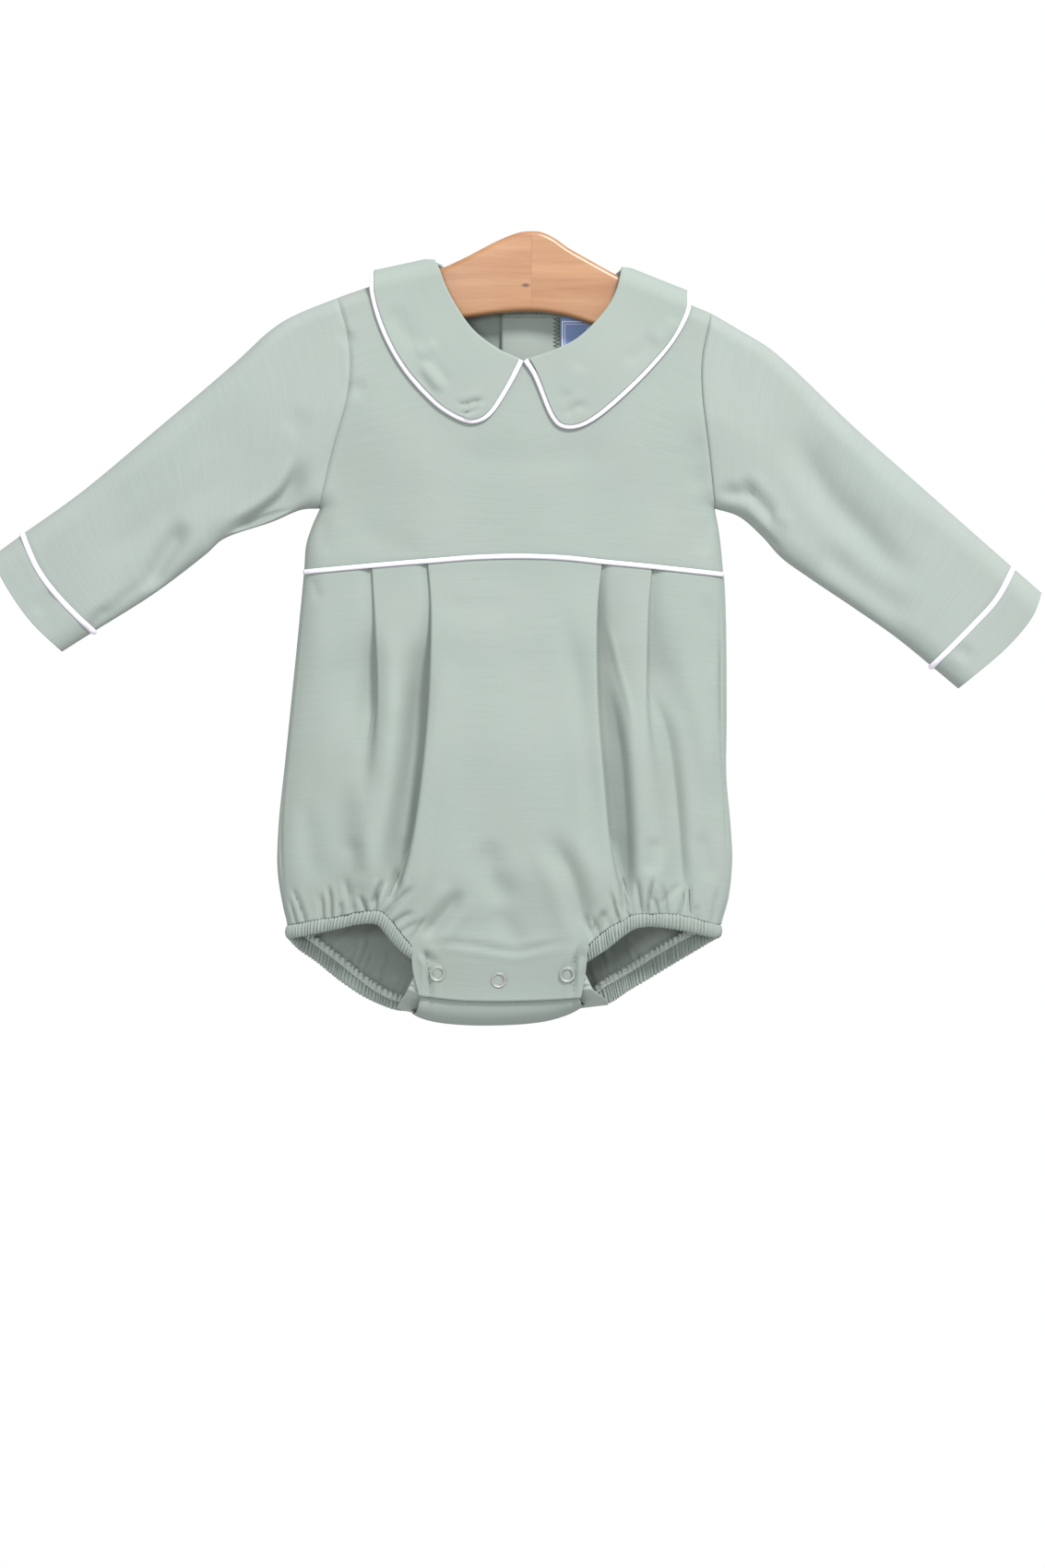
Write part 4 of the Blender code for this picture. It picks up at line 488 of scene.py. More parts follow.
BACK_CREASES = [
    crease(-3.6, 4, 0.5, -138, -136, -150, -153, -163, -167),
    crease(-1.6, 7, 0.4, -176, -108, -205, -140, -236, -168),
    crease(-1.7, 5, 0.4, -205, -178, -232, -196, -254, -206),
    crease(-3.2, 4, 0.5, 118, -140, 130, -156, 146, -172),
    crease(-2, 7, 0.4, 152, -110, 186, -146, 214, -182, 238, -212),
    crease(-1.3, 6, 0.3, -96, -92, -88, -118, -90, -150),
    crease(-1.3, 6, 0.3, 84, -98, 76, -124, 80, -158),
    crease(-0.8, 7, 0, -70, -84, -48, -96, -30, -100),
    crease(-2, 6, 0.5, -112, -210, -114, -262, -119, -318),
    crease(-2.5, 6.5, 0.5, -74, -206, -78, -250, -84, -310, -92, -372),
    crease(-1.6, 6, 0.4, -34, -204, -36, -246, -40, -300),
    crease(-1.7, 6.5, 0.4, 8, -204, 10, -256, 12, -322),
    crease(-2.4, 6, 0.5, 48, -206, 54, -262, 58, -330, 64, -380),
    crease(-1.6, 6, 0.4, 86, -210, 90, -262, 92, -306),
    crease(-2, 6, 0.4, -60, -452, -44, -420, -38, -388),
    crease(-1.7, 6, 0.4, 18, -452, 6, -420, 2, -392),
]
COLLAR_CREASES = {
    "left": (
        crease(-1.7, 1.8, 0.8, -44, -105.6, -37, -103.6, -28, -100.8),
        crease(-1.2, 1.5, 0.8, -43, -109.8, -35, -107.6, -30, -104.6),
        crease(1.7, 3, 0.4, -66, -79, -57, -90, -52, -97),
        crease(1, 3, 0.3, -70, -74, -62, -72, -56, -66),
        crease(-1, 6, 0, -84, -44, -76, -60, -66, -72),
    ),
    "right": (
        crease(-1, 2.6, 0.5, 34, -104, 26, -106, 20, -112),
        crease(-1, 4.5, 0.3, 72, -60, 66, -72, 54, -80),
        crease(0.9, 4, 0, 86, -52, 80, -62, 70, -68),
        crease(0.9, 5, 0, 30, -80, 24, -90, 20, -100),
    ),
}
# The side seams of the front skirt, and grooves along the other seams.
SIDE_SEAMS = (
    curve(-136.1, -205.8, -140.5, -257, -144.9, -298.7, -149.3, -356.7, -147, -405),
    curve(112.5, -210, 112, -276, 112.5, -297, 115, -330, 117, -385),
)
SIDE_GROOVES = [Crease(line, -2.6, 0.9, 0.3) for line in SIDE_SEAMS]
GROOVES = [
    Crease(line, -0.75, 1.3, 0.0)
    for line in (*ARMHOLE.values(), WAIST, *CUFF_SEAM.values())
]
# Slow waves of cloth that hangs free: wave lengths in x and z, phase, height.
WAVES = {
    FRONT: ((71.0, 190.0, 0.4, 0.42), (-46.0, 118.0, 2.1, 0.30), (29.0, -64.0, 4.0, 0.16)),
    BACK: ((64.0, 170.0, 1.4, 0.35), (-41.0, 101.0, 3.3, 0.22), (27.0, -70.0, 0.7, 0.12)),
}
# The rise beside a crease, in heights and half widths, its fading ends, and how far it acts.
BESIDE_SHARE, BESIDE_PLACE = 0.6, 2.0
CREASE_FADE, CREASE_REACH, LEAN_REACH = 0.3, 4.0, 0.6
WAY_STEP = 0.02


def crease_height(crease, x, z, fading=True):
    """Height that one crease adds to the cloth at each point."""
    line, height = crease.line, np.zeros(np.shape(x))
    reach = CREASE_REACH * crease.width * max(crease.lean * LEAN_REACH, 1.0)
    low, high = line.points.min(axis=0) - reach, line.points.max(axis=0) + reach
    inside = (x > low[0]) & (x < high[0]) & (z > low[1]) & (z < high[1])
    if not inside.any():
        return height
    away, share = line.near(x[inside], z[inside])
    if crease.lean != 1.0:
        near = line.at(share)
        way = line.at(share + WAY_STEP) - line.at(share - WAY_STEP)
        on_right = way[:, 0] * (z[inside] - near[:, 1]) < way[:, 1] * (x[inside] - near[:, 0])
        away = np.where(on_right, away / crease.lean, away)
    away = away / crease.width
    beside = crease.beside * BESIDE_SHARE * np.exp(-(away - BESIDE_PLACE) ** 2)
    rise = np.exp(-away ** 2) - beside
    if fading:
        rise = rise * smooth(share / CREASE_FADE) * smooth((1.0 - share) / CREASE_FADE)
    height[inside] = crease.height * rise
    return height


def fanned_gathers(seed, hem, start, end, count, reach, lean, height):
    """Short creases that run up from a gathered edge, uneven in place, length and depth."""
    chance = random.Random(seed)
    made = []
    for i in range(count):
        share = lerp(start, end, (i + chance.uniform(0.15, 0.85)) / count)
        foot = hem.at(share)
        ahead = hem.at(share + 0.01) - hem.at(share - 0.01)
        up = np.array([-ahead[1], ahead[0]]) / np.linalg.norm(ahead)
        up = up if up[1] > 0.0 else -up
        length = reach * chance.uniform(0.55, 1.45)
        up = up + np.array([lean * chance.uniform(-1.0, 1.0), 0.0])
        top = foot + up * length + np.array([chance.uniform(-1.5, 1.5), 0.0])
        line = Line([foot - up * 5.0, foot + up * length * 0.5, top], 4)
        deep = -height * chance.uniform(0.55, 1.3)
        made.append(Crease(line, deep, chance.uniform(1.0, 1.9), 0.3))
    return made


def waist_gathers(seed, count):
    """Gathers that run down from the back waist seam."""
    chance = random.Random(seed)
    made = []
    for i in range(count):
        x, z = WAIST.at((i + chance.uniform(0.2, 0.8)) / count)
        length, side = chance.uniform(16.0, 46.0), chance.uniform(-2.5, 2.5)
        line = Line([(x, z + 8.0), (x + side * 0.4, z - length * 0.4), (x + side, z - length)], 4)
        made.append(Crease(line, -chance.uniform(0.5, 1.2), chance.uniform(1.8, 3.0), 0.5))
    return made


CREASES = {
    FRONT: FRONT_CREASES + fanned_gathers(3, HEM["left"], 0.02, 0.98, 12, 17.0, 0.35, 1.7)
    + fanned_gathers(5, HEM["right"], 0.02, 0.98, 13, 17.0, 0.35, 1.7),
    BACK: BACK_CREASES + fanned_gathers(11, BACK_HEM["left"], 0.05, 0.97, 16, 22.0, 0.3, 1.1)
    + fanned_gathers(13, BACK_HEM["right"], 0.03, 0.95, 18, 22.0, 0.3, 1.1)
    + waist_gathers(17, 26),
}

# ---------------------------------------------------------------- depth of the cloth

# How far the cloth stands off the middle plane, and how round its folded edge is.
FOLD_DEPTH = 9.0
SHOULDER_ROUNDING, SIDE_ROUNDING = 9.0, 14.0
ROUNDING_CHANGE_TOP, ROUNDING_CHANGE_LENGTH = 60.0, 70.0
BELLY_RUN, CREASE_RUN = 70.0, 2.5
SLEEVE_START, SLEEVE_RUN, SLEEVE_DEPTH, SLEEVE_END_Z = 110.0, 60.0, 8.5, -280.0
BODY_MIDDLE_X = -10.0
NORMAL_STEP = 0.4
# Depth well inside the folded edges: z, then the front's and the back's.
BODY_DEPTHS = table(
    3, -20, 10.5, 12, -80, 12.5, 13.5, -150, 14, 14, -200, 15, 14.5, -250, 19, 19, -320, 24, 25,
    -380, 24, 27, -420, 20, 23, -460, 15, 13
)


def with_waves(height, x, z, layer):
    for along_x, along_z, phase, size in WAVES[layer]:
        height = height + size * np.sin(math.tau * (x / along_x + z / along_z) + phase)
    return height


def relief(x, z, layer):
    """Height of all creases, seam grooves and slow waves at each point of the cloth."""
    height = np.zeros(np.shape(x))
    for crease in CREASES[layer]:
        height = height + crease_height(crease, x, z)
    for groove in GROOVES:
        height = height + crease_height(groove, x, z, fading=False)
    for groove in SIDE_GROOVES if layer == FRONT else ():
        height = height + crease_height(groove, x, z)
    return with_waves(height, x, z, layer)


def fold_distance(x, z):
    inside = np.full(np.shape(x), 1e9)
    for side, here in (("left", x < BODY_MIDDLE_X), ("right", x >= BODY_MIDDLE_X)):
        if here.any():
            folds = (TOP_FOLD[side], UNDER_FOLD[side], SIDE_FOLD[side])
            inside[here] = np.min([fold.near(x[here], z[here])[0] for fold in folds], axis=0)
    return inside


def flat_depth(x, z, layer, inside):
    """Depth of the cloth before its creases and its rounded edge."""
    downs, depths = -BODY_DEPTHS[:, 0], BODY_DEPTHS[:, 1 if layer == FRONT else 2]
    step = np.clip(np.searchsorted(downs, -z) - 1, 0, len(downs) - 2)
    share = smooth((-z - downs[step]) / (downs[step + 1] - downs[step]))
    body = lerp(depths[step], depths[step + 1], share)
    into_sleeve = smooth((np.abs(x - BODY_MIDDLE_X) - SLEEVE_START) / SLEEVE_RUN)
    belly = lerp(body, SLEEVE_DEPTH, np.where(z < SLEEVE_END_Z, 0.0, into_sleeve))
    return lerp(FOLD_DEPTH, belly, smooth(inside / BELLY_RUN))


def depth(x, z, layer, creased=True):
    """How far the outer face of the cloth stands off the middle plane."""
    inside = fold_distance(x, z)
    full = flat_depth(x, z, layer, inside)
    if creased:
        full = full + relief(x, z, layer) * smooth(inside / CREASE_RUN)
    change = smooth((-z - ROUNDING_CHANGE_TOP) / ROUNDING_CHANGE_LENGTH)
    return full * arc(inside / lerp(SHOULDER_ROUNDING, SIDE_ROUNDING, change))


def off_plane(x, y, z):
    return np.stack(np.broadcast_arrays(x, y, z), axis=-1)


def on_cloth(flat, layer, lift=0.0, creased=True):
    x, z = np.moveaxis(np.asarray(flat, float), -1, 0)
    return off_plane(x, layer * (depth(x, z, layer, creased) + lift), z)


def outward_normal(flat, layer, creased=False):
    here = on_cloth(flat, layer, 0.0, creased)
    across = on_cloth(flat + np.array([NORMAL_STEP, 0.0]), layer, 0.0, creased) - here
    upward = on_cloth(flat + np.array([0.0, NORMAL_STEP]), layer, 0.0, creased) - here
    normal = unit(np.cross(across, upward))
    return np.where(normal[..., 1:2] * layer > 0.0, normal, -normal)


# ---------------------------------------------------------------- making of pieces


def finish_piece(name, mesh, material, replaces=()):
    piece = bpy.data.objects.new(name, mesh)
    bpy.context.scene.collection.objects.link(piece)
    mesh.materials.append(material)
    mesh.shade_smooth()
    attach(piece, "root")
    if replaces:
        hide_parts(*replaces)
    return piece


def as_mesh(name, bm):
    mesh = bpy.data.meshes.new(name)
    bm.to_mesh(mesh)
    bm.free()
    return mesh


def cloth_uv(grid):
    """Place on the cloth in metres: along each row from its middle, and down the middle."""
    steps = np.linalg.norm(np.diff(grid, axis=1), axis=2)
    along = np.concatenate([np.zeros((len(grid), 1)), np.cumsum(steps, axis=1)], axis=1)
    middle = grid.shape[1] // 2
    down = np.broadcast_to(run_lengths(grid[:, middle])[:, None], along.shape)
    return np.stack([along - along[:, middle:middle + 1], down], axis=-1) * MM


def mesh_over(name, grid, joined, tube=False):
    """A mesh over rows of points, joined where it meets itself, and closed for a tube."""
    rows, columns = grid.shape[:2]
    bm = bmesh.new()
    bmesh.ops.create_grid(bm, x_segments=columns - 1, y_segments=rows - 1, size=1.0)
    mesh = bpy.data.meshes.new(name)
    bm.to_mesh(mesh)
    mesh.vertices.foreach_set("co", (grid * MM).astype(np.float32).ravel())
    corners = np.zeros(len(mesh.loops), np.int32)
    mesh.loops.foreach_get("vertex_index", corners)
    uvs = cloth_uv(grid).reshape(-1, 2)[corners]
    mesh.uv_layers.new(name="cloth").data.foreach_set("uv", uvs.astype(np.float32).ravel())
    if joined:
        bm.clear()
        bm.from_mesh(mesh)
        bmesh.ops.remove_doubles(bm, verts=bm.verts, dist=JOIN_DISTANCE)
        if tube:
            bmesh.ops.holes_fill(bm, edges=[e for e in bm.edges if e.is_boundary], sides=0)
            bmesh.ops.recalc_face_normals(bm, faces=bm.faces)
        bm.to_mesh(mesh)
    bm.free()
    mesh.update()
    return mesh


def add_wall(piece, wall, offset=-1.0):
    solid = piece.modifiers.new("wall", "SOLIDIFY")
    solid.thickness = wall * MM
    solid.offset = offset
    solid.use_even_offset = False


def lay_cloth(name, grid, material, wall, replaces=(), ring=False,
              flip=False, offset=-1.0):
    """A cloth shell whose outer face follows rows of points, with its wall inside."""
    if flip:
        grid = grid[:, ::-1]
    if ring:
        grid = np.concatenate([grid, grid[:, :1]], axis=1)
    piece = finish_piece(name, mesh_over(name, grid, ring), material, replaces)
    if wall:
        add_wall(piece, wall, offset)
    return piece


def run_tube(name, points, outs, across, through, material, replaces=(), closed=False,
             sides=12):
    """A cord along points that face outs; across and through are its oval's half sizes."""
    if closed:
        ahead = np.roll(points, -1, axis=0) - np.roll(points, 1, axis=0)
    else:
        ahead = np.gradient(points, axis=0)
    ahead = unit(ahead)
    side = unit(np.cross(ahead, outs))
    outs = np.cross(side, ahead)
    grid = np.stack([
        points + side * (across * math.cos(turn)) + outs * (through * math.sin(turn))
        for turn in np.arange(sides) * math.tau / sides
    ], axis=1)
    grid = np.concatenate([grid, grid[:, :1]], axis=1)
    if closed:
        grid = np.concatenate([grid, grid[:1]], axis=0)
    return finish_piece(name, mesh_over(name, grid, True, True), material, replaces)


def sew_stitches(name, rows, pitch, length, radius, material):
    """Rows of small thread stitches; each row has points and the outward way at them."""
    bm = bmesh.new()
    size = Matrix.Diagonal((length / 2 * MM, radius * MM, radius * MM, 1.0))
    for points, outs in rows:
        lengths = run_lengths(points)
        for i in range(int(lengths[-1] / pitch)):
            at = (i + 0.5) * pitch
            here, out = read_at(points, lengths, at), read_at(outs, lengths, at)
            ahead = read_at(points, lengths, at + 0.3) - read_at(points, lengths, at - 0.3)
            along, up = Vector(ahead).normalized(), Vector(out).normalized()
            side = up.cross(along).normalized()
            turn = Matrix((along, side, along.cross(side))).transposed().to_4x4()
            place = Matrix.Translation(Vector(here + out * radius * 0.35) * MM)
            bmesh.ops.create_uvsphere(
                bm, u_segments=6, v_segments=4, radius=1.0, matrix=place @ turn @ size
            )
    return finish_piece(name, as_mesh(name, bm), material)


def zigzag(name, points, outs, ahead_step, swing, radius, material):
    """Thread that swings across an edge."""
    lengths = run_lengths(points)
    count = int(lengths[-1] / ahead_step)
    at = np.linspace(0.0, lengths[-1], count)
    here, out = read_at(points, lengths, at), read_at(outs, lengths, at)
    side = unit(np.cross(np.gradient(here, axis=0), out))
    way = np.where(np.arange(count) % 2 == 0, 1.0, -1.0)[:, None]
    fine = Line(here + side * swing * way, 3).points
    return run_tube(
        name, fine, np.repeat(out, 3, axis=0)[:len(fine)], radius, radius, material,
        sides=5,
    )


def row_on_cloth(line, layer, lift=0.0, count=160):
    flat = line.part(0.0, 1.0, count)
    return on_cloth(flat, layer, lift), outward_normal(flat, layer, True)


# ---------------------------------------------------------------- materials


def linear(red, green, blue, share=1.0):
    """Colour as light, times a share, from its values on a screen, 0 to 255."""
    values = [v / 255.0 for v in (red, green, blue)]
    light = [v / 12.92 if v <= 0.04045 else ((v + 0.055) / 1.055) ** 2.4 for v in values]
    return scaled(light, share)


def scaled(colour, share):
    return tuple(min(c * share, 1.0) for c in colour)


class Finish:
    """A node material under construction."""

    def __init__(self, name, roughness, sheen=0.0, metallic=0.0, coat=0.0, specular=0.5):
        self.material = bpy.data.materials.new(name)
        self.material.use_nodes = True
        self.tree = self.material.node_tree
        self.shader = self.tree.nodes["Principled BSDF"]
        for key, value in {
            "Roughness": roughness, "Metallic": metallic, "Sheen Weight": sheen,
            "Sheen Roughness": 0.5, "Coat Weight": coat, "Coat Roughness": 0.25,
            "Specular IOR Level": specular,
        }.items():
            self.shader.inputs[key].default_value = value
        self.coordinates = self.tree.nodes.new("ShaderNodeTexCoord")

    def feed(self, socket, value):
        if isinstance(value, bpy.types.NodeSocket):
            self.tree.links.new(value, socket)
        else:
            socket.default_value = value

    def node(self, kind, inputs, **settings):
        made = self.tree.nodes.new("ShaderNode" + kind)
        for key, value in settings.items():
            setattr(made, key, value)
        for key, value in inputs.items():
            self.feed(made.inputs[key], value)
        return made.outputs

    def place(self, source, scale=(1, 1, 1), turn=(0, 0, 0), shift=(0, 0, 0)):
        return self.node("Mapping", {
            "Vector": self.coordinates.outputs[source], "Scale": scale, "Rotation": turn,
            "Location": shift,
        })["Vector"]

    def noise(self, vector, scale, detail=2.0, roughness=0.5, distortion=0.0):
        return self.node("TexNoise", {
            "Vector": vector, "Scale": scale, "Detail": detail, "Roughness": roughness,
            "Distortion": distortion,
        })["Fac"]

    def bands(self, vector, scale, distortion=0.0, direction="X", detail=0.0):
        return self.node("TexWave", {
            "Vector": vector, "Scale": scale, "Distortion": distortion, "Detail": detail,
        }, bands_direction=direction)["Fac"]

    def spread(self, value, low, high, out_low=0.0, out_high=1.0):
        return self.node("MapRange", {
            "Value": value, "From Min": low, "From Max": high, "To Min": out_low,
            "To Max": out_high,
        })["Result"]

    def sum(self, a, b, share=1.0):
        return self.node("Math", {0: b, 1: share, 2: a}, operation="MULTIPLY_ADD")[0]

    def math(self, operation, a, b=0.0):
        return self.node("Math", {0: a, 1: b}, operation=operation)[0]

    def blend(self, share, *colours):
        full = [c if isinstance(c, bpy.types.NodeSocket) else (*c, 1.0) for c in colours]
        return self.node("Mix", {0: share, 6: full[0], 7: full[1]}, data_type="RGBA")[2]

    def finish(self, colour, height, strength, distance):
        """The material with its colour and the relief of its surface."""
        self.feed(self.shader.inputs["Base Color"], colour)
        bump = self.node("Bump", {"Height": height, "Strength": strength, "Distance": distance})
        self.feed(self.shader.inputs["Normal"], bump["Normal"])
        return self.material


def knit_jersey(name, colour, streak=0.05):
    """Fine cotton jersey: slub streaks along its courses, faint clouds, small wales."""
    base = linear(*colour, 0.42)
    cloth = Finish(name, 0.9, sheen=0.05, specular=0.3)
    slubs = cloth.noise(cloth.place("UV", (26.0, 900.0, 1.0)), 1.0, 3.0, 0.6)
    threads = cloth.noise(cloth.place("UV", (260.0, 2600.0, 1.0)), 1.0, 2.0, 0.6)
    clouds = cloth.noise(cloth.place("UV", (1.0, 1.0, 1.0)), 16.0, 3.0, 0.55)
    mottle = cloth.spread(cloth.sum(slubs, threads, 0.5), 0.45, 1.05)
    toned = cloth.blend(mottle, scaled(base, 1.0 - streak), scaled(base, 1.0 + streak))
    rosy = (base[0] * 1.05, base[1] * 0.985, base[2] * 0.985)
    tone = cloth.blend(cloth.spread(clouds, 0.42, 0.75, 0.0, 0.6), toned, rosy)
    wales = cloth.bands(cloth.place("UV"), 430.0, 1.2, "X", 1.0)
    courses = cloth.bands(cloth.place("UV"), 540.0, 1.6, "Y", 1.0)
    knit = cloth.sum(cloth.sum(wales, courses, 0.6), slubs, 2.0)
    return cloth.finish(tone, knit, 0.25, 0.00014)


def twisted_piping(name):
    """Bias-cut cotton over a cord: faint diagonal threads."""
    base = linear(238, 233, 246, 0.72)
    cord = Finish(name, 0.75, sheen=0.1, specular=0.3)
    threads = cord.bands(cord.place("UV", turn=(0, 0, 0.8)), 520.0, 0.6, "X", 1.0)
    clouds = cord.noise(cord.place("Object"), 160.0, 2.0)
    tone = cord.blend(clouds, scaled(base, 0.96), scaled(base, 1.03))
    return cord.finish(tone, threads, 0.3, 0.00012)


def clear_wood(name, slope, seed):
    """Pale varnished board whose grain runs along the given slope, with one small knot."""
    wood = Finish(name, 0.42, coat=0.25)
    light, dark = linear(224, 167, 117, 0.41), linear(200, 135, 84, 0.385)
    turn = (0.0, slope, 0.0)
    rings = wood.noise(
        wood.place("Object", (9.0, 14.0, 120.0), turn, (seed, seed, seed)), 1.0, 4.0, 0.55, 0.6
    )
    pores = wood.noise(wood.place("Object", (60.0, 60.0, 1500.0), turn), 1.0, 2.0, 0.6)
    grain = wood.sum(rings, pores, 0.35)
    toned = wood.blend(wood.spread(grain, 0.45, 0.95), light, dark)
    knot = wood.node("VectorMath", {
        0: wood.place("Object", (300.0, 0.0, 620.0), shift=(1.05, 0.0, 20.2)),
    }, operation="LENGTH")["Value"]
    tone = wood.blend(wood.spread(knot, 0.25, 1.0, 1.0, 0.0), toned, linear(104, 56, 38, 0.5))
    return wood.finish(tone, grain, 0.12, 0.0002)


def woven_label(name):
    """Blue satin ribbon, bare but for its pale woven frame."""
    ribbon = Finish(name, 0.55, sheen=0.2)
    blue, pale = linear(126, 154, 208, 0.72), linear(226, 232, 244, 0.95)
    weave = ribbon.bands(ribbon.place("UV"), 900.0, 0.3, "Y")
    place = ribbon.node("SeparateXYZ", {"Vector": ribbon.place("UV")})
    across = ribbon.math("ABSOLUTE", place[0])
    down = ribbon.math("ABSOLUTE", ribbon.math("SUBTRACT", place[1], 0.0096))
    edge = ribbon.math(
        "MAXIMUM", ribbon.math("SUBTRACT", across, 0.0083), ribbon.math("SUBTRACT", down, 0.0078)
    )
    outer = ribbon.math("LESS_THAN", ribbon.math("ABSOLUTE", edge), 0.0003)
    within = ribbon.math("ABSOLUTE", ribbon.math("ADD", edge, 0.0015))
    line = ribbon.math("MAXIMUM", outer, ribbon.math("LESS_THAN", within, 0.00016))
    ground = ribbon.blend(ribbon.spread(weave, 0, 1, 0.0, 0.35), blue, scaled(blue, 1.25))
    return ribbon.finish(ribbon.blend(line, ground, pale), weave, 0.3, 0.0001)


def clouded(name, colour, shares, clouds, relief, **surface):
    """One colour between two shares of it, in small clouds: nickel, or button resin."""
    made = Finish(name, **surface)
    height = made.noise(made.place("Object"), **clouds)
    return made.finish(
        made.blend(height, *(scaled(colour, share) for share in shares)), height, relief, 0.0001
    )


def sewing_thread(name, colour):
    thread = Finish(name, 0.7, sheen=0.2)
    base = linear(*colour, 0.68)
    twist = thread.bands(thread.place("Object", turn=(0.5, 0.6, 0.4)), 1600.0)
    return thread.finish(
        thread.blend(twist, scaled(base, 0.82), scaled(base, 1.08)), twist, 0.3, 0.0001
    )


JERSEY = knit_jersey("sage_jersey", (190, 204, 196))
# The sleeves and cuffs get a lighter copy of the jersey: painted light, for the way their upper
# sides catch more light.
SLEEVE_JERSEY_PAINTED_LIGHT = knit_jersey("sage_jersey_sleeve_painted_light", (194, 207, 200))
COLLAR_JERSEY = knit_jersey("sage_jersey_collar", (191, 205, 197), 0.03)
# A much lighter copy of the jersey for the overlocked frill: painted light, to lift the frill out
# of the shadow the front skirt casts on the back casing.
FRILL_JERSEY_PAINTED_LIGHT = knit_jersey("sage_jersey_frill_painted_light", (222, 235, 227), 0.03)
# A lighter copy of the jersey for the casing ends and the placket facing: painted light, to lift
# them out of the shade under the tab and inside the neck.
PAINTED_LIGHT_JERSEY = knit_jersey("sage_jersey_painted_light", (204, 217, 209), 0.03)
PIPING = twisted_piping("white_piping")
# Sage thread made dark: partly painted shade, standing in for the shadow in the stitch holes.
SHADE_DARKENED_THREAD = sewing_thread("sage_thread", (92, 108, 98))
PALE_THREAD = sewing_thread("pale_sage_thread", (206, 216, 209))
NICKEL = clouded(
    "snap_nickel", linear(186, 188, 184), (0.8, 1.0), {"scale": 900.0, "detail": 3.0}, 0.08,
    roughness=0.55, metallic=1.0,
)
RESIN = clouded(
    "button_resin", linear(205, 214, 207, 0.78), (0.93, 1.0),
    {"scale": 420.0, "detail": 3.0, "distortion": 1.5}, 0.05, roughness=0.3,
)
RIBBON = woven_label("blue_ribbon")

# ---------------------------------------------------------------- bodice

BODICE_SHARES = (
    0.0, 0.1, 0.23, 0.245, 0.29, 0.37, 0.51, 0.65, 0.78, 0.88, 0.94, 0.967, 0.984, 0.9955, 1.0,
)
NECK_SHARES = (
    0.0, 0.1, 0.2, 0.235, 0.3, 0.38, 0.48, 0.58, 0.67, 0.75, 0.82, 0.88, 0.93, 0.97, 1.0,
)
UNDERARM = BODICE_SHARES[2]
ROW_DENSITY = 8
BODICE_V = denser(BODICE_SHARES, 14 * ROW_DENSITY + 1)
NECK_V = denser(NECK_SHARES, 14 * ROW_DENSITY + 1)
UNDERARM_ROWS = 2 * ROW_DENSITY + 1
SHOULDER_STEPS = denser((0.0, 0.6, 3.0, 8.0, 16.0, 30.0, 45.0), 30)
NECK_EDGE_STEPS = denser((0.0, 1.4, 4.5, 10.0), 9)
NECK_RUN = 10.0
PLACKET_LEFT_X, PLACKET_RIGHT_X = -18.4, 16.3
LAP_RUN = 30.0
UNDER_LAP = -(CLOTH_WALL + LAY_GAP)


def side_end(side):
    """The share of a line from left to right at which it meets a side."""
    return 0.0 if side == "left" else 1.0


def side_edge(side):
    """Waist to shoulder along the side seam and the armhole."""
    seam, armhole = SIDE_FOLD[side], ARMHOLE[side]
    waist_share = seam.share_at(1, WAIST.at(side_end(side))[1])

    def edge(v):
        low = seam.at(lerp(waist_share, 0.0, v / UNDERARM))
        high = armhole.at(1.0 - (v - UNDERARM) / (1.0 - UNDERARM))
        point = np.where((v <= UNDERARM)[..., None], low, high)
        inset = OUTWARD[side] * SEAM_HALF * np.minimum(v / UNDERARM, 1.0)
        return point - np.stack([inset, np.zeros_like(inset)], axis=-1)

    return edge


def shoulder_points(side):
    """Points on the shoulder fold from the armhole to the neck, close together at first."""
    fold = TOP_FOLD[side]
    end = fold.share_at(0, ARMHOLE[side].at(0.0)[0] - OUTWARD[side] * SEAM_HALF)
    run = end * fold.length
    shares = [end - step / fold.length for step in SHOULDER_STEPS if step < run - 1.0]
    return fold.at(np.array(shares + [0.0]))


def neck_line_shares(neck, both_ends, columns):
    start = NECK_EDGE_STEPS / neck.length
    end = 1.0 - start[::-1] if both_ends else np.array([1.0])
    middle = np.linspace(start[-1], end[0], columns + 1)[1:-1]
    return np.concatenate([start, middle, end])


def bodice_panel(top, necks, left_edge, right_edge, waist_start, waist_end, layer, lift):
    """A bodice panel under a line of points along its shoulders and neck."""
    steps = np.diff(top, axis=0)
    run = np.maximum(np.abs(steps[:, 0]), 0.5 * np.linalg.norm(steps, axis=1))
    spread = np.concatenate([[0.0], np.cumsum(run)])
    us = spread / spread[-1]
    from_neck = np.minimum(np.abs(spread - spread[necks[0]]), np.abs(spread - spread[necks[1]]))
    columns = np.arange(len(us))
    between = (columns > necks[0]) & (columns < necks[1])
    into_neck = np.where(between, smooth(from_neck / NECK_RUN), 0.0)
    flat = patch(
        lambda u: WAIST.at(lerp(waist_start, waist_end, u)) + np.array([0.0, SEAM_HALF]),
        lambda u: read_at(top, us, u), left_edge, right_edge, us,
        lerp(BODICE_V[:, None], NECK_V[:, None], into_neck[None, :]),
    )
    return on_cloth(flat, layer, lift(flat[..., 0]))


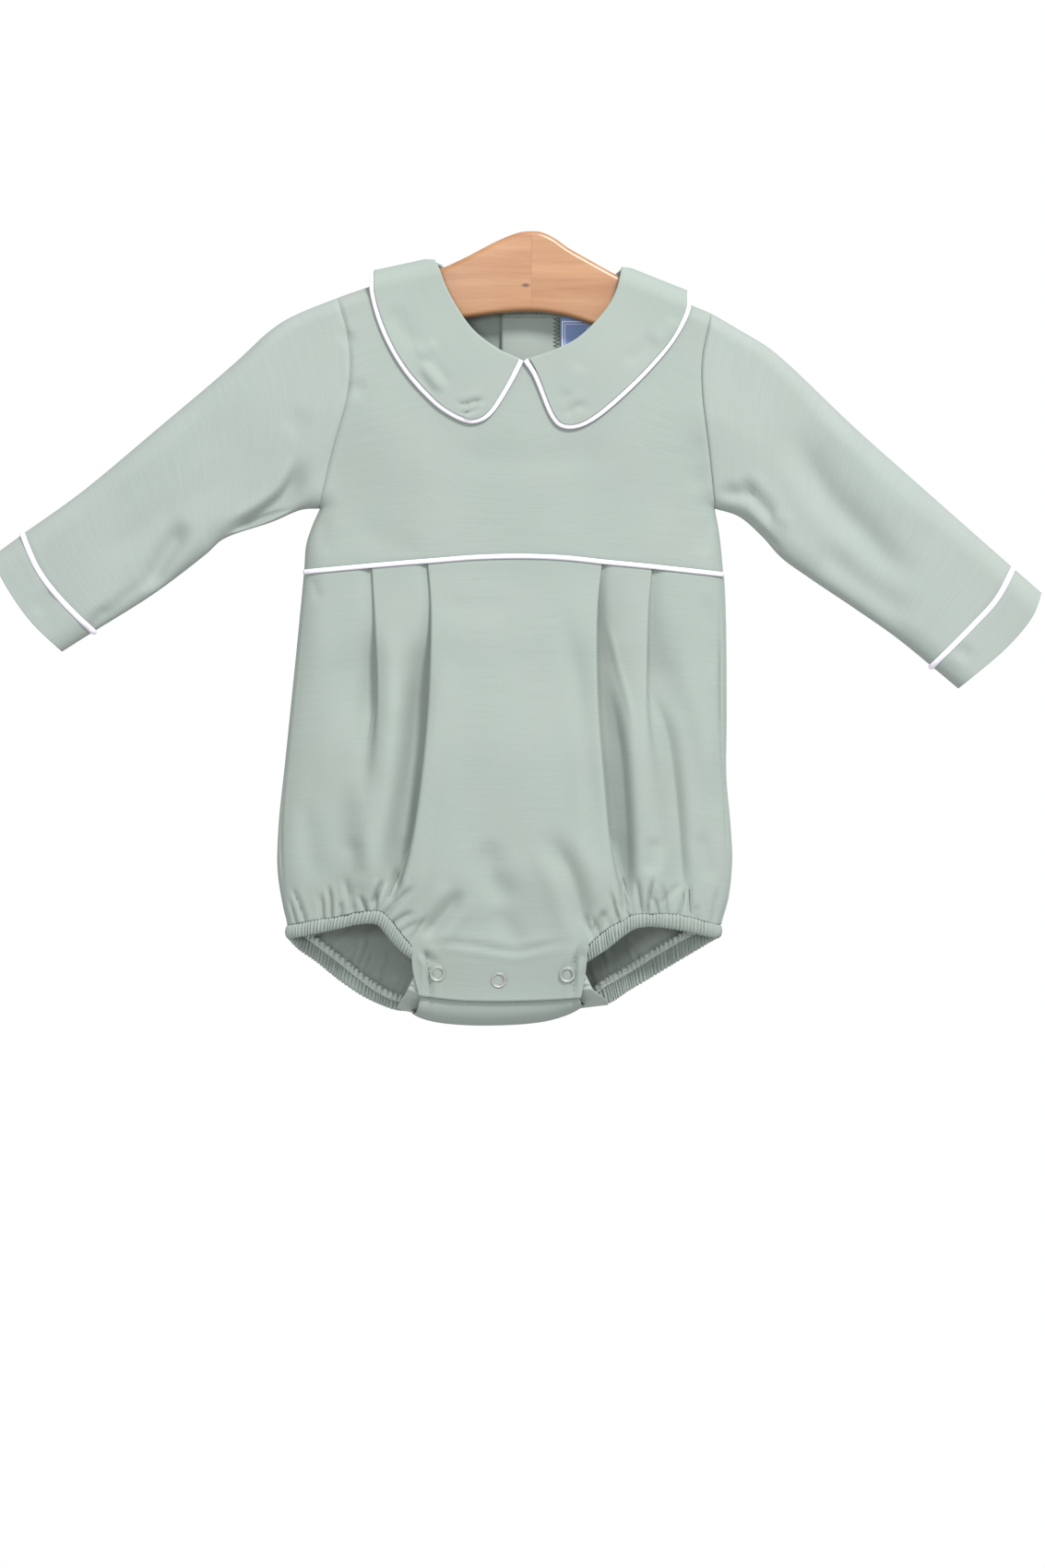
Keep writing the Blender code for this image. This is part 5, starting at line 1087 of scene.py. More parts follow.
def cut_front_yoke():
    left, right = shoulder_points("left"), shoulder_points("right")
    line = NECKLINE[FRONT]
    neck = line.at(neck_line_shares(line, True, 64)[1:-1])
    top = np.concatenate([left, neck, right[::-1]])
    necks = (len(left) - 1, len(top) - len(right))
    grid = bodice_panel(
        top, necks, side_edge("left"), side_edge("right"), 0.0, 1.0, FRONT, np.zeros_like
    )
    grid[-1, :necks[0] + 1, 1] = grid[-1, necks[1]:, 1] = -SHOULDER_SEAM_HALF
    grid[:UNDERARM_ROWS, 0, 1] = grid[:UNDERARM_ROWS, -1, 1] = -SHOULDER_SEAM_HALF
    return lay_cloth("front_yoke_cloth", grid, JERSEY, CLOTH_WALL, ("front_yoke",))


def under_lap(x):
    """The right half lies under the left one towards the placket."""
    return UNDER_LAP * smooth((PLACKET_RIGHT_X + LAP_RUN - x) / LAP_RUN)


def cut_back_half(side):
    fold_points = shoulder_points(side)
    neck = NECKLINE[BACK]
    centre_x = PLACKET_RIGHT_X if side == "left" else PLACKET_LEFT_X
    to_centre = Line(neck.part(side_end(side), neck.share_at(0, centre_x), 65), 1)
    neck_points = to_centre.at(neck_line_shares(to_centre, False, 40)[1:])
    waist_end = WAIST.share_at(0, centre_x)
    waist_point = WAIST.at(waist_end) + np.array([0.0, SEAM_HALF])
    rise = neck_points[-1] - waist_point
    top = np.concatenate([fold_points, neck_points])
    grid = bodice_panel(
        top, (len(fold_points) - 1, len(top) - 1), side_edge(side),
        lambda v: waist_point + rise * np.asarray(v)[..., None], side_end(side), waist_end, BACK,
        np.zeros_like if side == "left" else under_lap,
    )
    grid[-1, :len(fold_points), 1] = SHOULDER_SEAM_HALF
    grid[:UNDERARM_ROWS, 0, 1] = SHOULDER_SEAM_HALF
    return lay_cloth(
        "back_bodice_%s_cloth" % side, grid, JERSEY, CLOTH_WALL, ("back_bodice_" + side,),
        flip=side == "left",
    )


# ---------------------------------------------------------------- sleeves and cuffs

SLEEVE_V = np.linspace(0.0, 1.0, 110)
CUFF_V = denser((0.0, 0.1, 0.5, 0.9, 1.0), 17)
ACROSS = denser(
    [(1.0 - v) / (1.0 - UNDERARM) for v in reversed(BODICE_SHARES[2:])], 12 * 5 + 1
)
PIPING_ACROSS, WAIST_PIPING_ACROSS, PIPING_THROUGH = 1.72, 1.45, 1.2


def crossing(fold, seam, end, gap):
    """The share of a folded edge where a seam's end meets it, a gap away."""
    return fold.share_at(0, seam.at(end)[0] + gap)


def flat_tube(side, start, end, upper_shares, under_shares, along):
    """Rings round a flat tube between two seams, from the front of its upper fold and back."""
    edges = [lambda u, s=seam, g=gap: s.at(u) + np.array([g, 0.0]) for seam, gap in (start, end)]
    flat = patch(
        *edges, lambda v: TOP_FOLD[side].at(lerp(*upper_shares, v)),
        lambda v: UNDER_FOLD[side].at(lerp(*under_shares, v)), ACROSS, along,
    )
    front, back = on_cloth(flat, FRONT), on_cloth(flat[:, -2:0:-1], BACK)
    front[:, 0, 1] = front[:, -1, 1] = 0.0
    return np.concatenate([front, back], axis=1)


def ring_outs(ring, inner):
    """The way off the tube at each point of its closed ring."""
    out = unit(np.cross(np.roll(ring, -1, axis=0) - np.roll(ring, 1, axis=0), ring - inner))
    inward = ((ring - ring.mean(axis=0)) * out).sum(axis=1, keepdims=True) < 0.0
    return np.where(inward, -out, out)


def sew_sleeve(side):
    turn = side == "left"
    gap = OUTWARD[side] * SEAM_HALF
    armhole, seam = ARMHOLE[side], CUFF_SEAM[side]
    upper, under = TOP_FOLD[side], UNDER_FOLD[side]
    rings = flat_tube(
        side, (armhole, gap), (seam, -gap),
        (crossing(upper, armhole, 0.0, gap), crossing(upper, seam, 0.0, -gap)),
        (1.0 - SEAM_HALF / under.length, crossing(under, seam, 1.0, -gap)), SLEEVE_V,
    )
    cuffs = flat_tube(
        side, (seam, gap), (CUFF_HEM[side], 0.0), (crossing(upper, seam, 0.0, gap), 1.0),
        (crossing(under, seam, 1.0, gap), 0.0), CUFF_V,
    )
    # Sleeve and cuff use the lightened jersey, which is painted light.
    sleeve = lay_cloth(
        "sleeve_%s_cloth" % side, rings, SLEEVE_JERSEY_PAINTED_LIGHT, CLOTH_WALL, ("sleeve_" + side,),
        ring=True, flip=turn,
    )
    cuff = lay_cloth(
        "cuff_%s_cloth" % side, cuffs, SLEEVE_JERSEY_PAINTED_LIGHT, CUFF_WALL, ("cuff_" + side,), ring=True,
        flip=turn,
    )
    ring = (rings[-1] + cuffs[0]) / 2
    outs = ring_outs(ring, rings[-3])
    cord = run_tube(
        "cuff_piping_%s_cord" % side, ring + outs * 0.7, outs, PIPING_ACROSS, PIPING_THROUGH,
        PIPING, ("cuff_piping_" + side,), closed=True,
    )
    return sleeve, cuff, cord


# ---------------------------------------------------------------- collar

COLLAR_LIFT = LAY_GAP + COLLAR_WALL
COLLAR_INSET, PIPING_INSET = 2.3, 1.3
ROLL_DROP, ROLL_RUN = 1.8, 7.0
COLLAR_V = denser((0.0, 0.2, 0.42, 0.62, 0.79, 0.91, 1.0), 37)
COLLAR_U = {
    FRONT: denser(
        (0.0, 0.045, 0.1, 0.19, 0.3, 0.43, 0.56, 0.69, 0.8, 0.88, 0.935, 0.97, 0.992, 1.0), 79
    ),
    BACK: denser((0.0, 0.06, 0.14, 0.28, 0.44, 0.6, 0.74, 0.84, 0.9, 0.94, 0.97, 0.992, 1.0), 61),
}


def on_collar(side, flat, layer, lift, creased=True):
    """A point of the collar, which stands off the shoulder and then lies on the bodice."""
    x, z = np.moveaxis(flat, -1, 0)
    near, far = COLLAR_RIDGE[side]
    run = far - near
    away = np.abs(run[0] * (z - near[1]) - run[1] * (x - near[0])) / np.linalg.norm(run)
    full = with_waves(flat_depth(x, z, layer, fold_distance(x, z)) + lift, x, z, layer)
    for crease in COLLAR_CREASES[side] if creased and layer == FRONT else ():
        full = full + crease_height(crease, x, z)
    return off_plane(x, layer * full * arc(away / (SHOULDER_ROUNDING + lift)), z)


def inset_line(line, inset, towards, count=97):
    """A line moved sideways towards a point."""
    points = line.part(0.0, 1.0, count)
    run = unit(np.gradient(points, axis=0))
    sideways = np.stack([-run[:, 1], run[:, 0]], axis=1)
    if sideways[0] @ (towards - points[0]) < 0.0:
        inset = -inset
    return Line(points + sideways * inset, 1)


def collar_outline(side, layer, inset):
    """The outer edge from the shoulder fold round the tip to the free end, set in."""
    _, outer, end = COLLARS[side, layer]
    near, far = COLLAR_RIDGE[side]
    whole = Line(np.concatenate([outer, end[1:]]))
    line = inset_line(whole, inset, (near + outer[-1]) / 2)
    line.points[0] = far + (near - far) / np.linalg.norm(near - far) * inset
    return line, Line(outer).length / whole.length


def collar_half(side, layer):
    neck = Line(COLLARS[side, layer][0])
    outline, tip = collar_outline(side, layer, COLLAR_INSET)
    pull = neck.at(1.0) - outline.at(1.0)
    ridge_neck, ridge = neck.at(0.0), outline.at(0.0) - neck.at(0.0)
    ridge_run = np.linalg.norm(ridge)

    def dropped(points, drop):
        return points - np.stack([np.zeros_like(drop), drop], axis=-1)

    flat = patch(
        lambda u: dropped(neck.at(1.0 - u), ROLL_DROP * smooth((u - 0.9) / 0.1)),
        lambda u: outline.at(tip * (1.0 - u)),
        lambda v: outline.at(lerp(1.0, tip, v)) + pull * ((1.0 - v) ** 4)[..., None],
        lambda v: dropped(
            ridge_neck + ridge * v[..., None],
            ROLL_DROP * (1.0 - smooth(v * ridge_run / ROLL_RUN)),
        ),
        COLLAR_U[layer], COLLAR_V,
    )
    grid = on_collar(side, flat, layer, COLLAR_LIFT)
    grid[:, -1, 1] = 0.0
    return grid


def collar_edge(side, layer):
    """Points of the piping from the free end to the shoulder fold, and the way off them."""
    flat = collar_outline(side, layer, PIPING_INSET)[0].part(1.0, 0.0, 121)[:-1]
    points = on_collar(side, flat, layer, LAY_GAP + PIPING_THROUGH, False)
    return points, np.tile((0.0, layer, 0.0), (len(points), 1))


def sew_collar(side):
    grid = np.concatenate([collar_half(side, FRONT), collar_half(side, BACK)[:, -2::-1]], axis=1)
    collar = lay_cloth(
        "collar_%s_cloth" % side, grid, COLLAR_JERSEY, COLLAR_WALL, ("collar_" + side,),
        flip=side == "left",
    )
    (front, front_out), (back, back_out) = collar_edge(side, FRONT), collar_edge(side, BACK)
    ridge_x, ridge_z = collar_outline(side, FRONT, PIPING_INSET)[0].at(0.0)
    points = np.concatenate([front, [[ridge_x, 0.0, ridge_z]], back[::-1]])
    outs = np.concatenate([front_out, [[0.0, 0.0, 1.0]], back_out[::-1]])
    lengths = run_lengths(points)
    even = np.linspace(0.0, lengths[-1], 300)
    points, outs = read_at(points, lengths, even), read_at(outs, lengths, even)
    outs[:, 2] = 1.0 - np.clip(np.abs(points[:, 1]) / 9.0, 0.0, 1.0)
    cord = run_tube(
        "collar_piping_%s_cord" % side, points, unit(outs), PIPING_ACROSS, PIPING_THROUGH,
        PIPING, ("collar_piping_" + side,),
    )
    return collar, cord


# ---------------------------------------------------------------- front skirt

SKIRT_SHARES = (0.0, 0.06, 0.17, 0.3, 0.43, 0.56, 0.68, 0.79, 0.88, 0.95, 1.0)
SKIRT_V = denser(SKIRT_SHARES, 10 * 10 + 1)
NEAR_FOLD = denser((0.0, 0.6, 3.0, 8.0, 16.0, 26.0), 26)
# Down the skirt a pleat is first pressed flat, then its step changes to the lower one, and
# it settles where it is gathered into the leg casing.
PRESSED_SHARE, PRESSED_RUN = 0.5, 0.42
DEEP_FROM, DEEP_TO = 0.25, 0.8
SETTLE_FROM, SETTLED_SHARE = 0.86, 0.2
HOLLOW_CLOSING = 0.19
# The bend of the folded edge: how much of it is left once it is a slope, and its columns.
OPEN_BEND_SHARE, BEND_STEPS = 0.82, 6
# Where the panels end beside the bend, and how quickly they run up to it or dip to it.
NEXT_TO_BEND, UPPER_FADE, DIP_FADE = 0.5, 10, 2.2
WAIST_TIGHTNESS, LOOSE_FROM = 22.0, 0.3
SIDE_COLUMNS, BETWEEN_COLUMNS = 34, 36


def pleat_step(pleat, down):
    """How much deeper the layers beneath the folded edge lie at a share of the length."""
    deepening = smooth((down - DEEP_FROM) / (DEEP_TO - DEEP_FROM))
    settled = lerp(1.0, SETTLED_SHARE, smooth((down - SETTLE_FROM) / (1.0 - SETTLE_FROM)))
    pressed = lerp(PRESSED_SHARE, 1.0, smooth(down / PRESSED_RUN))
    return lerp(pleat.step, pleat.low_step, deepening) * settled * pressed


def hollow(pleat, down, share):
    """The extra depth beside a pleat; share is 1 at its folded edge."""
    size, fade, start, full, end = pleat.hollow
    opening = smooth((down - start) / (full - start))
    closing = smooth((end - down) / HOLLOW_CLOSING)
    return size * opening * closing * smooth(share) ** fade


def pleat_line(pleat):
    waist = WAIST.at(WAIST.share_at(0, pleat.waist_x)) - np.array([0.0, SEAM_HALF])
    hem = HEM["left" if pleat.hem_x < BODY_MIDDLE_X else "right"]
    return Line(np.vstack([waist, pleat.line, hem.at(hem.share_at(0, pleat.hem_x))]))


def side_seam(side):
    """The skirt's side seam along the fold, from waist to hem."""
    fold, hem = SIDE_FOLD[side], HEM[side].knots[0 if side == "left" else -1]
    start = fold.share_at(1, WAIST.at(side_end(side))[1] - SEAM_HALF)
    end = fold.share_at(1, hem[1])
    return lambda v: fold.at(lerp(start, end, v))


def hem_part(side, start, end, columns):
    line = HEM[side]
    return line.part(line.share_at(0, start), line.share_at(0, end), columns + 1)


def side_hem(side, pleat_x):
    """Hem points from the side fold to the outer pleat, close together at first."""
    line = HEM[side]
    xs = list(line.at(side_end(side))[0] - OUTWARD[side] * NEAR_FOLD)
    xs += list(np.linspace(xs[-1], pleat_x, SIDE_COLUMNS + 1)[1:])
    return line.at(np.array([side_end(side)] + [line.share_at(0, x) for x in xs[1:]]))


def panel_shares(points):
    lengths = run_lengths(points)
    return lengths / lengths[-1]


def skirt_patch(hem_points, start, end, left_edge, right_edge):
    """Shares across and flat points of a skirt panel, rows from the waist down."""
    us = panel_shares(hem_points)
    return us, patch(
        lambda u: WAIST.at(lerp(start, end, u)) - np.array([0.0, SEAM_HALF]),
        lambda u: read_at(hem_points, us, u), left_edge, right_edge, us, SKIRT_V,
    )


def front_panel(hem_points, left_edge, right_edge):
    left_x, right_x = (edge(np.array([0.0]))[0, 0] for edge in (left_edge, right_edge))
    start = WAIST.share_at(0, left_x) if left_x > WAIST.at(0.0)[0] else 0.0
    return skirt_patch(hem_points, start, WAIST.share_at(0, right_x), left_edge, right_edge)


def centre_hem():
    """Hem points of the middle panel, with the tab's outline."""
    left, right = HEM["left"], HEM["right"]
    tab = [edge.part(0.0, 1.0, columns + 1)[1:] for edge, columns in TAB_EDGES]
    return np.concatenate([
        left.part(left.share_at(0, PLEATS[1].hem_x), 1.0, 13), *tab,
        right.part(0.0, right.share_at(0, PLEATS[2].hem_x), 16)[1:],
    ])


def hem_height(x):
    """Height of the hem over a leg."""
    left, right = (np.interp(x, *HEM[side].points.T) for side in SIDES)
    return np.where(x < BODY_MIDDLE_X, left, right)


def pleat_section(pleat, down):
    """Points (along, deeper) from the deep panel to the upper one, seen from the fold line."""
    step = pleat_step(pleat, down)
    lap = pleat.overlap * max(0.0, 1.0 - down / pleat.lapped)
    sloping = float(smooth((down - pleat.slopes_from) / (pleat.slopes_to - pleat.slopes_from)))
    width = pleat.width * sloping
    angle = 2 * math.atan2(step, width)
    radius = (width ** 2 + step ** 2) / (4 * step)
    top = step / 4 * (1.0 - sloping)
    foot = top - 2 * radius * math.sin(angle) - lap * math.cos(angle)
    turns = angle * lerp(1.0, OPEN_BEND_SHARE, sloping) * np.linspace(0.0, 1.0, BEND_STEPS)
    along, deeper = radius * np.sin(turns), radius * (1.0 - np.cos(turns))
    lower = np.stack([foot + along, step - deeper], axis=1)
    return np.concatenate([lower, np.stack([top - along, deeper], axis=1)[::-1]])


def stop_short(pleat, down):
    """How far before the fold line the deep panel ends."""
    return NEXT_TO_BEND + max(0.0, -pleat_section(pleat, down)[0][0])


def panel_points(panel, r, deep_left=None, deep_right=None, upper_left=None, upper_right=None):
    """A row (x, z, deeper) of a panel; it dips towards a pleat where it lies deeper."""
    us, rows = panel
    down = float(SKIRT_V[r])
    x, z, foot_x, foot_z = *rows[r].T.copy(), *rows[-1].T.copy()
    deeper = np.zeros_like(us)
    ends = ((deep_left, upper_left, 1.0, 1.0 - us), (deep_right, upper_right, -1.0, us))
    for deep, upper, way, share in ends:
        if deep:
            x += way * stop_short(deep, down) * share ** 2
            foot_x += way * stop_short(deep, 1.0) * share ** 2
            tight = DIP_FADE + WAIST_TIGHTNESS * (1.0 - smooth(down / LOOSE_FROM))
            deeper = deeper + pleat_step(deep, down) * smooth(share) ** tight
            deeper = deeper + hollow(deep, down, share)
        if upper:
            start = pleat_section(upper, down)[-1][0] + NEXT_TO_BEND
            x += way * start * share ** UPPER_FADE
    if deep_left or deep_right:
        z += (hem_height(foot_x) - foot_z) * down ** 2
    return np.stack([x, z, deeper], axis=1)


def pleat_points(pleat, line, down, towards):
    """The layers of a pleat between the deeper panel and the upper one."""
    (edge_x, edge_z), (foot_x, foot_z) = line.at(down), line.at(1.0)
    section, low = pleat_section(pleat, down), pleat_section(pleat, 1.0)
    shift = hem_height(foot_x + towards * low[:, 0]) - foot_z
    return np.stack(
        [edge_x + towards * section[:, 0], edge_z + shift * down ** 2, section[:, 1]], axis=1
    )


def cut_front_skirt():
    p1, p2, p3, p4 = PLEATS
    lines = [pleat_line(pleat) for pleat in PLEATS]
    edges = [side_seam("left")] + [line.at for line in lines] + [side_seam("right")]
    hems = (
        side_hem("left", p1.hem_x), hem_part("left", p1.hem_x, p2.hem_x, BETWEEN_COLUMNS),
        centre_hem(), hem_part("right", p3.hem_x, p4.hem_x, BETWEEN_COLUMNS),
        side_hem("right", p4.hem_x)[::-1],
    )
    panels = [front_panel(hem, edges[i], edges[i + 1]) for i, hem in enumerate(hems)]
    rows = []
    for r, down in enumerate(SKIRT_V):
        laid = [
            pleat_points(pleat, line, float(down), towards)[::int(towards)]
            for pleat, line, towards in zip(PLEATS, lines, (1.0, 1.0, -1.0, -1.0))
        ]
        rows.append(np.concatenate([
            panel_points(panels[0], r, deep_right=p1), laid[0],
            panel_points(panels[1], r, deep_right=p2, upper_left=p1), laid[1],
            panel_points(panels[2], r, upper_left=p2, upper_right=p3), laid[2],
            panel_points(panels[3], r, deep_left=p3, upper_right=p4), laid[3],
            panel_points(panels[4], r, deep_left=p4),
        ]))
    rows = np.stack(rows)
    flat = rows[..., :2]
    grid = on_cloth(flat, FRONT) - outward_normal(flat, FRONT) * (CLOTH_WALL / 2)
    grid[..., 1] += rows[..., 2]
    grid[:, 0, 1] = grid[:, -1, 1] = -(SHOULDER_SEAM_HALF + CLOTH_WALL / 2)
    return lay_cloth(
        "front_skirt_cloth", grid[::-1], JERSEY, CLOTH_WALL, ("front_skirt",), offset=0.0
    )


# ---------------------------------------------------------------- back skirt

EXTENSION_LEFT_X, EXTENSION_RIGHT_X = -66.4, 28.4
EXTENSION_TOP_Z, EXTENSION_FRONT_Z = -428.0, -457.5
UNDER_TAB = CLOTH_WALL + 1.0
UNDER_TURNS, UNDER_ROWS = 24, 14
LEG_COLUMNS, CROTCH_COLUMNS = 60, 70
FIRST_COLUMNS_RUN = 16.0


def back_hem_points():
    """Lower ends of the back skirt's columns from left to right, and the extension's first."""
    left, right = BACK_HEM["left"], BACK_HEM["right"]
    left_x, right_x = left.knots[0, 0], right.knots[-1, 0]
    steps = [step for step in NEAR_FOLD if step <= FIRST_COLUMNS_RUN]
    near_left = [0.0] + [left.share_at(0, left_x + step) for step in steps[1:]]
    near_right = [right.share_at(0, right_x - step) for step in steps[-2:0:-1]] + [1.0]
    across = np.linspace(0.0, 1.0, CROTCH_COLUMNS + 1)[1:, None]
    return np.concatenate([
        left.at(np.array(near_left)), left.part(near_left[-1], 1.0, LEG_COLUMNS + 1)[1:],
        left.at(1.0) + (right.at(0.0) - left.at(1.0)) * across,
        right.part(0.0, right.share_at(0, right_x - steps[-1]), LEG_COLUMNS + 1)[1:],
        right.at(np.array(near_right)),
    ]), len(steps) - 1 + LEG_COLUMNS


def crotch_rows(start):
    """Rows from the back's edge round the crotch fold and up behind the tab."""
    share = np.linspace(0.0, 1.0, CROTCH_COLUMNS + 1)
    front_x = lerp(EXTENSION_LEFT_X, EXTENSION_RIGHT_X, share)
    low = CROTCH_FOLD.points[np.argsort(CROTCH_FOLD.points[:, 0])]

    def behind_tab(x, z):
        return -(depth(x, np.full_like(x, z), FRONT) - UNDER_TAB)

    front_y = behind_tab(front_x, EXTENSION_FRONT_Z)
    middle, half = (start[:, 1] + front_y) / 2, (start[:, 1] - front_y) / 2
    rows = [start]
    for turn in range(1, UNDER_TURNS + UNDER_ROWS + 1):
        angle = math.pi * min(turn / UNDER_TURNS, 1.0)
        x = lerp(start[:, 0], front_x, angle / math.pi)
        if turn <= UNDER_TURNS:
            rest_z = lerp(start[:, 2], EXTENSION_FRONT_Z, angle / math.pi)
            drop = rest_z - np.interp(x, low[:, 0], low[:, 1])
            y, z = middle + half * math.cos(angle), rest_z - drop * math.sin(angle)
        else:
            up = (turn - UNDER_TURNS) / UNDER_ROWS
            z = lerp(EXTENSION_FRONT_Z, EXTENSION_TOP_Z, up)
            y = behind_tab(x, z)
        rows.append(off_plane(x, y, z))
    return np.stack(rows)


def cut_back_skirt():
    """The back of the bubble with its extension."""
    hem, first = back_hem_points()
    flat = skirt_patch(hem, 0.0, 1.0, side_seam("left"), side_seam("right"))[1]
    back = on_cloth(flat, BACK)
    back[:, 0, 1] = back[:, -1, 1] = SHOULDER_SEAM_HALF
    crotch = crotch_rows(back[-1, first:first + CROTCH_COLUMNS + 1])
    piece = lay_cloth("back_skirt_cloth", back, JERSEY, 0.0, ("back_skirt",))
    extension = lay_cloth("crotch_extension_cloth", crotch, JERSEY, 0.0)
    bm = bmesh.new()
    for part in (piece, extension):
        bm.from_mesh(part.data)
    bmesh.ops.remove_doubles(bm, verts=bm.verts, dist=JOIN_DISTANCE)
    bm.to_mesh(piece.data)
    bm.free()
    bpy.data.objects.remove(extension)
    add_wall(piece, CLOTH_WALL)
    return piece


# ---------------------------------------------------------------- leg casings

GATHER_SPACING, GATHER_COLUMNS = 2.05, 9
CASING_THICKNESS, CASING_SET_IN, CASING_SIDES = 1.9, 0.7, 16
# Ribs of the gathers: how sharp, how high in depth and in width, and how they twist round.
RIB_SHARPNESS, RIB_MIDDLE, RIB_DEPTH, RIB_REACH = 0.55, 0.7, 2.1, 0.2
RIB_TWIST, RIB_TWIST_TURNS, RIB_TWIST_START = 0.35, 1.5, 0.4
END_FADE = 5.0
SEAM_SIDE_EXTRA = 0.3
# How far the casing is tucked in at its first and its last end, and over what length.
TUCKS = (2.6, 9.0), (1.2, 9.0)
FOLD_WIDTHS, FOLD_HEIGHTS, SMOOTHING = (0.65, 1.35), (0.7, 1.2), 25
# The overlocked edge of the seam allowance, which ruffles behind the casing.
FRILL_SPACING, FRILL_ROWS, FRILL_HEIGHT, FRILL_START = 3.4, 6, 4.6, 0.6
FRILL_SWING, FRILL_SLANT, FRILL_LEAN = 1.5, 0.5, 0.6
FRILL_SET_IN, FRILL_FRONT_EXTRA, FRILL_CHANGE = 2.3, 3.4, 8.0
FRILL_THREADS, THREAD_LIFT = (2, 4), 0.45
TURN_DOME, TURN_LIFT, TURN_ROWS, TURN_COLUMNS = 1.1, 0.2, 49, 11
TURN_RIB, TURN_RIBS, TURN_RIB_SLANT, TURN_RIB_RUN = 0.32, 44.0, 0.8, 0.3


def casing_path(side):
    """Seam edge and free edge round a casing, from the front tab to the crotch."""
    edges = ([], [])
    for layer in (FRONT, BACK):
        rows = CASINGS[side, layer]
        lines = Line(rows[:, :2]), Line(rows[:, 2:])
        count = int(lines[1].length / GATHER_SPACING * GATHER_COLUMNS)
        shares = np.linspace(0.0, 1.0, count)[0 if layer == FRONT else 1:]
        for line, edge in zip(lines, edges):
            edge.append(on_cloth(line.at(shares), layer, 0.0, False))
    return [np.concatenate(edge) for edge in edges]


def outward_round(middle, half):
    """Outward way of a casing, carried on from the front so that it never flips."""
    out = unit(np.cross(np.gradient(middle, axis=0), half))
    start = len(out) // 4
    if out[start, 1] > 0.0:
        out = -out
    for way, last in ((1, len(out)), (-1, -1)):
        for i in range(start + way, last, way):
            if out[i] @ out[i - way] < 0.0:
                out[i] = -out[i]
    padded = np.pad(out, ((SMOOTHING // 2,) * 2, (0, 0)), mode="edge")
    even = np.ones(SMOOTHING) / SMOOTHING
    return unit(np.stack([np.convolve(c, even, "valid") for c in padded.T], axis=1))


def uneven_phase(run, spacing, chance):
    """Phase of folds along a run, uneven in width, and a height for each."""
    count = int(run[-1] / spacing)
    knots = np.cumsum([chance.uniform(*FOLD_WIDTHS) for _ in range(count + 1)])
    knots = (knots - knots[0]) / (knots[-1] - knots[0]) * run[-1]
    heights = [chance.uniform(*FOLD_HEIGHTS) for _ in range(count + 1)]
    phase = np.interp(run, knots, np.arange(count + 1) * math.pi)
    return phase, np.interp(run, knots, heights)


def gather_casing(side):
    """The elastic casing: a flat tube of cloth in small gathers, and its overlocked edge."""
    seam, free = casing_path(side)
    middle, half = (seam + free) / 2, (seam - free) / 2
    out = outward_round(middle, half)
    run = run_lengths(middle)
    chance = random.Random(23 if side == "left" else 29)
    phase, height = uneven_phase(run, GATHER_SPACING, chance)
    rest = run[-1] - run
    ends = smooth(run / END_FADE) * smooth(rest / END_FADE)
    under = sum(
        size * (1.0 - smooth(away / fade)) for (size, fade), away in zip(TUCKS, (run, rest))
    )
    grid = []
    for turn in np.arange(CASING_SIDES) * math.tau / CASING_SIDES:
        twist = RIB_TWIST * math.sin(turn * RIB_TWIST_TURNS + RIB_TWIST_START)
        rib = np.abs(np.cos(phase + twist)) ** RIB_SHARPNESS - RIB_MIDDLE
        thick = CASING_THICKNESS + RIB_DEPTH * rib * height * ends
        tall = 1.0 + RIB_REACH * rib * height * ends
        tall = tall + (SEAM_SIDE_EXTRA if math.cos(turn) > 0.5 else 0.0)
        grid.append(
            middle + half * (math.cos(turn) * tall)[:, None]
            + out * (thick * math.sin(turn) - CASING_SET_IN - under)[:, None]
        )
    casing = lay_cloth(
        "leg_band_%s_cloth" % side, np.stack(grid, axis=1), JERSEY, 0.0, ("leg_band_" + side,),
        ring=True, flip=side == "right",
    )
    folds, swing = uneven_phase(run, FRILL_SPACING, chance)
    set_in = FRILL_SET_IN + FRILL_FRONT_EXTRA * smooth(0.5 - middle[:, 1] / FRILL_CHANGE)
    rows = []
    for share in np.linspace(0.0, 1.0, FRILL_ROWS):
        ruffle = np.sin(2 * folds + FRILL_SLANT * share) * FRILL_SWING * share * swing * ends
        off = (ruffle - set_in - FRILL_LEAN * share)[:, None]
        rows.append(seam + unit(half) * (FRILL_HEIGHT * share - FRILL_START) + out * off)
    # The frill's lighter jersey is painted light against the shadow it lies in.
    frill = lay_cloth(
        "leg_overlock_%s" % side, np.stack(rows), FRILL_JERSEY_PAINTED_LIGHT, 0.5, flip=side == "left"
    )
    return casing, frill, [
        zigzag(
            "leg_overlock_thread_%s_%d" % (side, number), rows[row] - out * THREAD_LIFT, out,
            *LEG_ZIGZAG, PALE_THREAD,
        ) for number, row in enumerate(FRILL_THREADS, start=1)
    ]


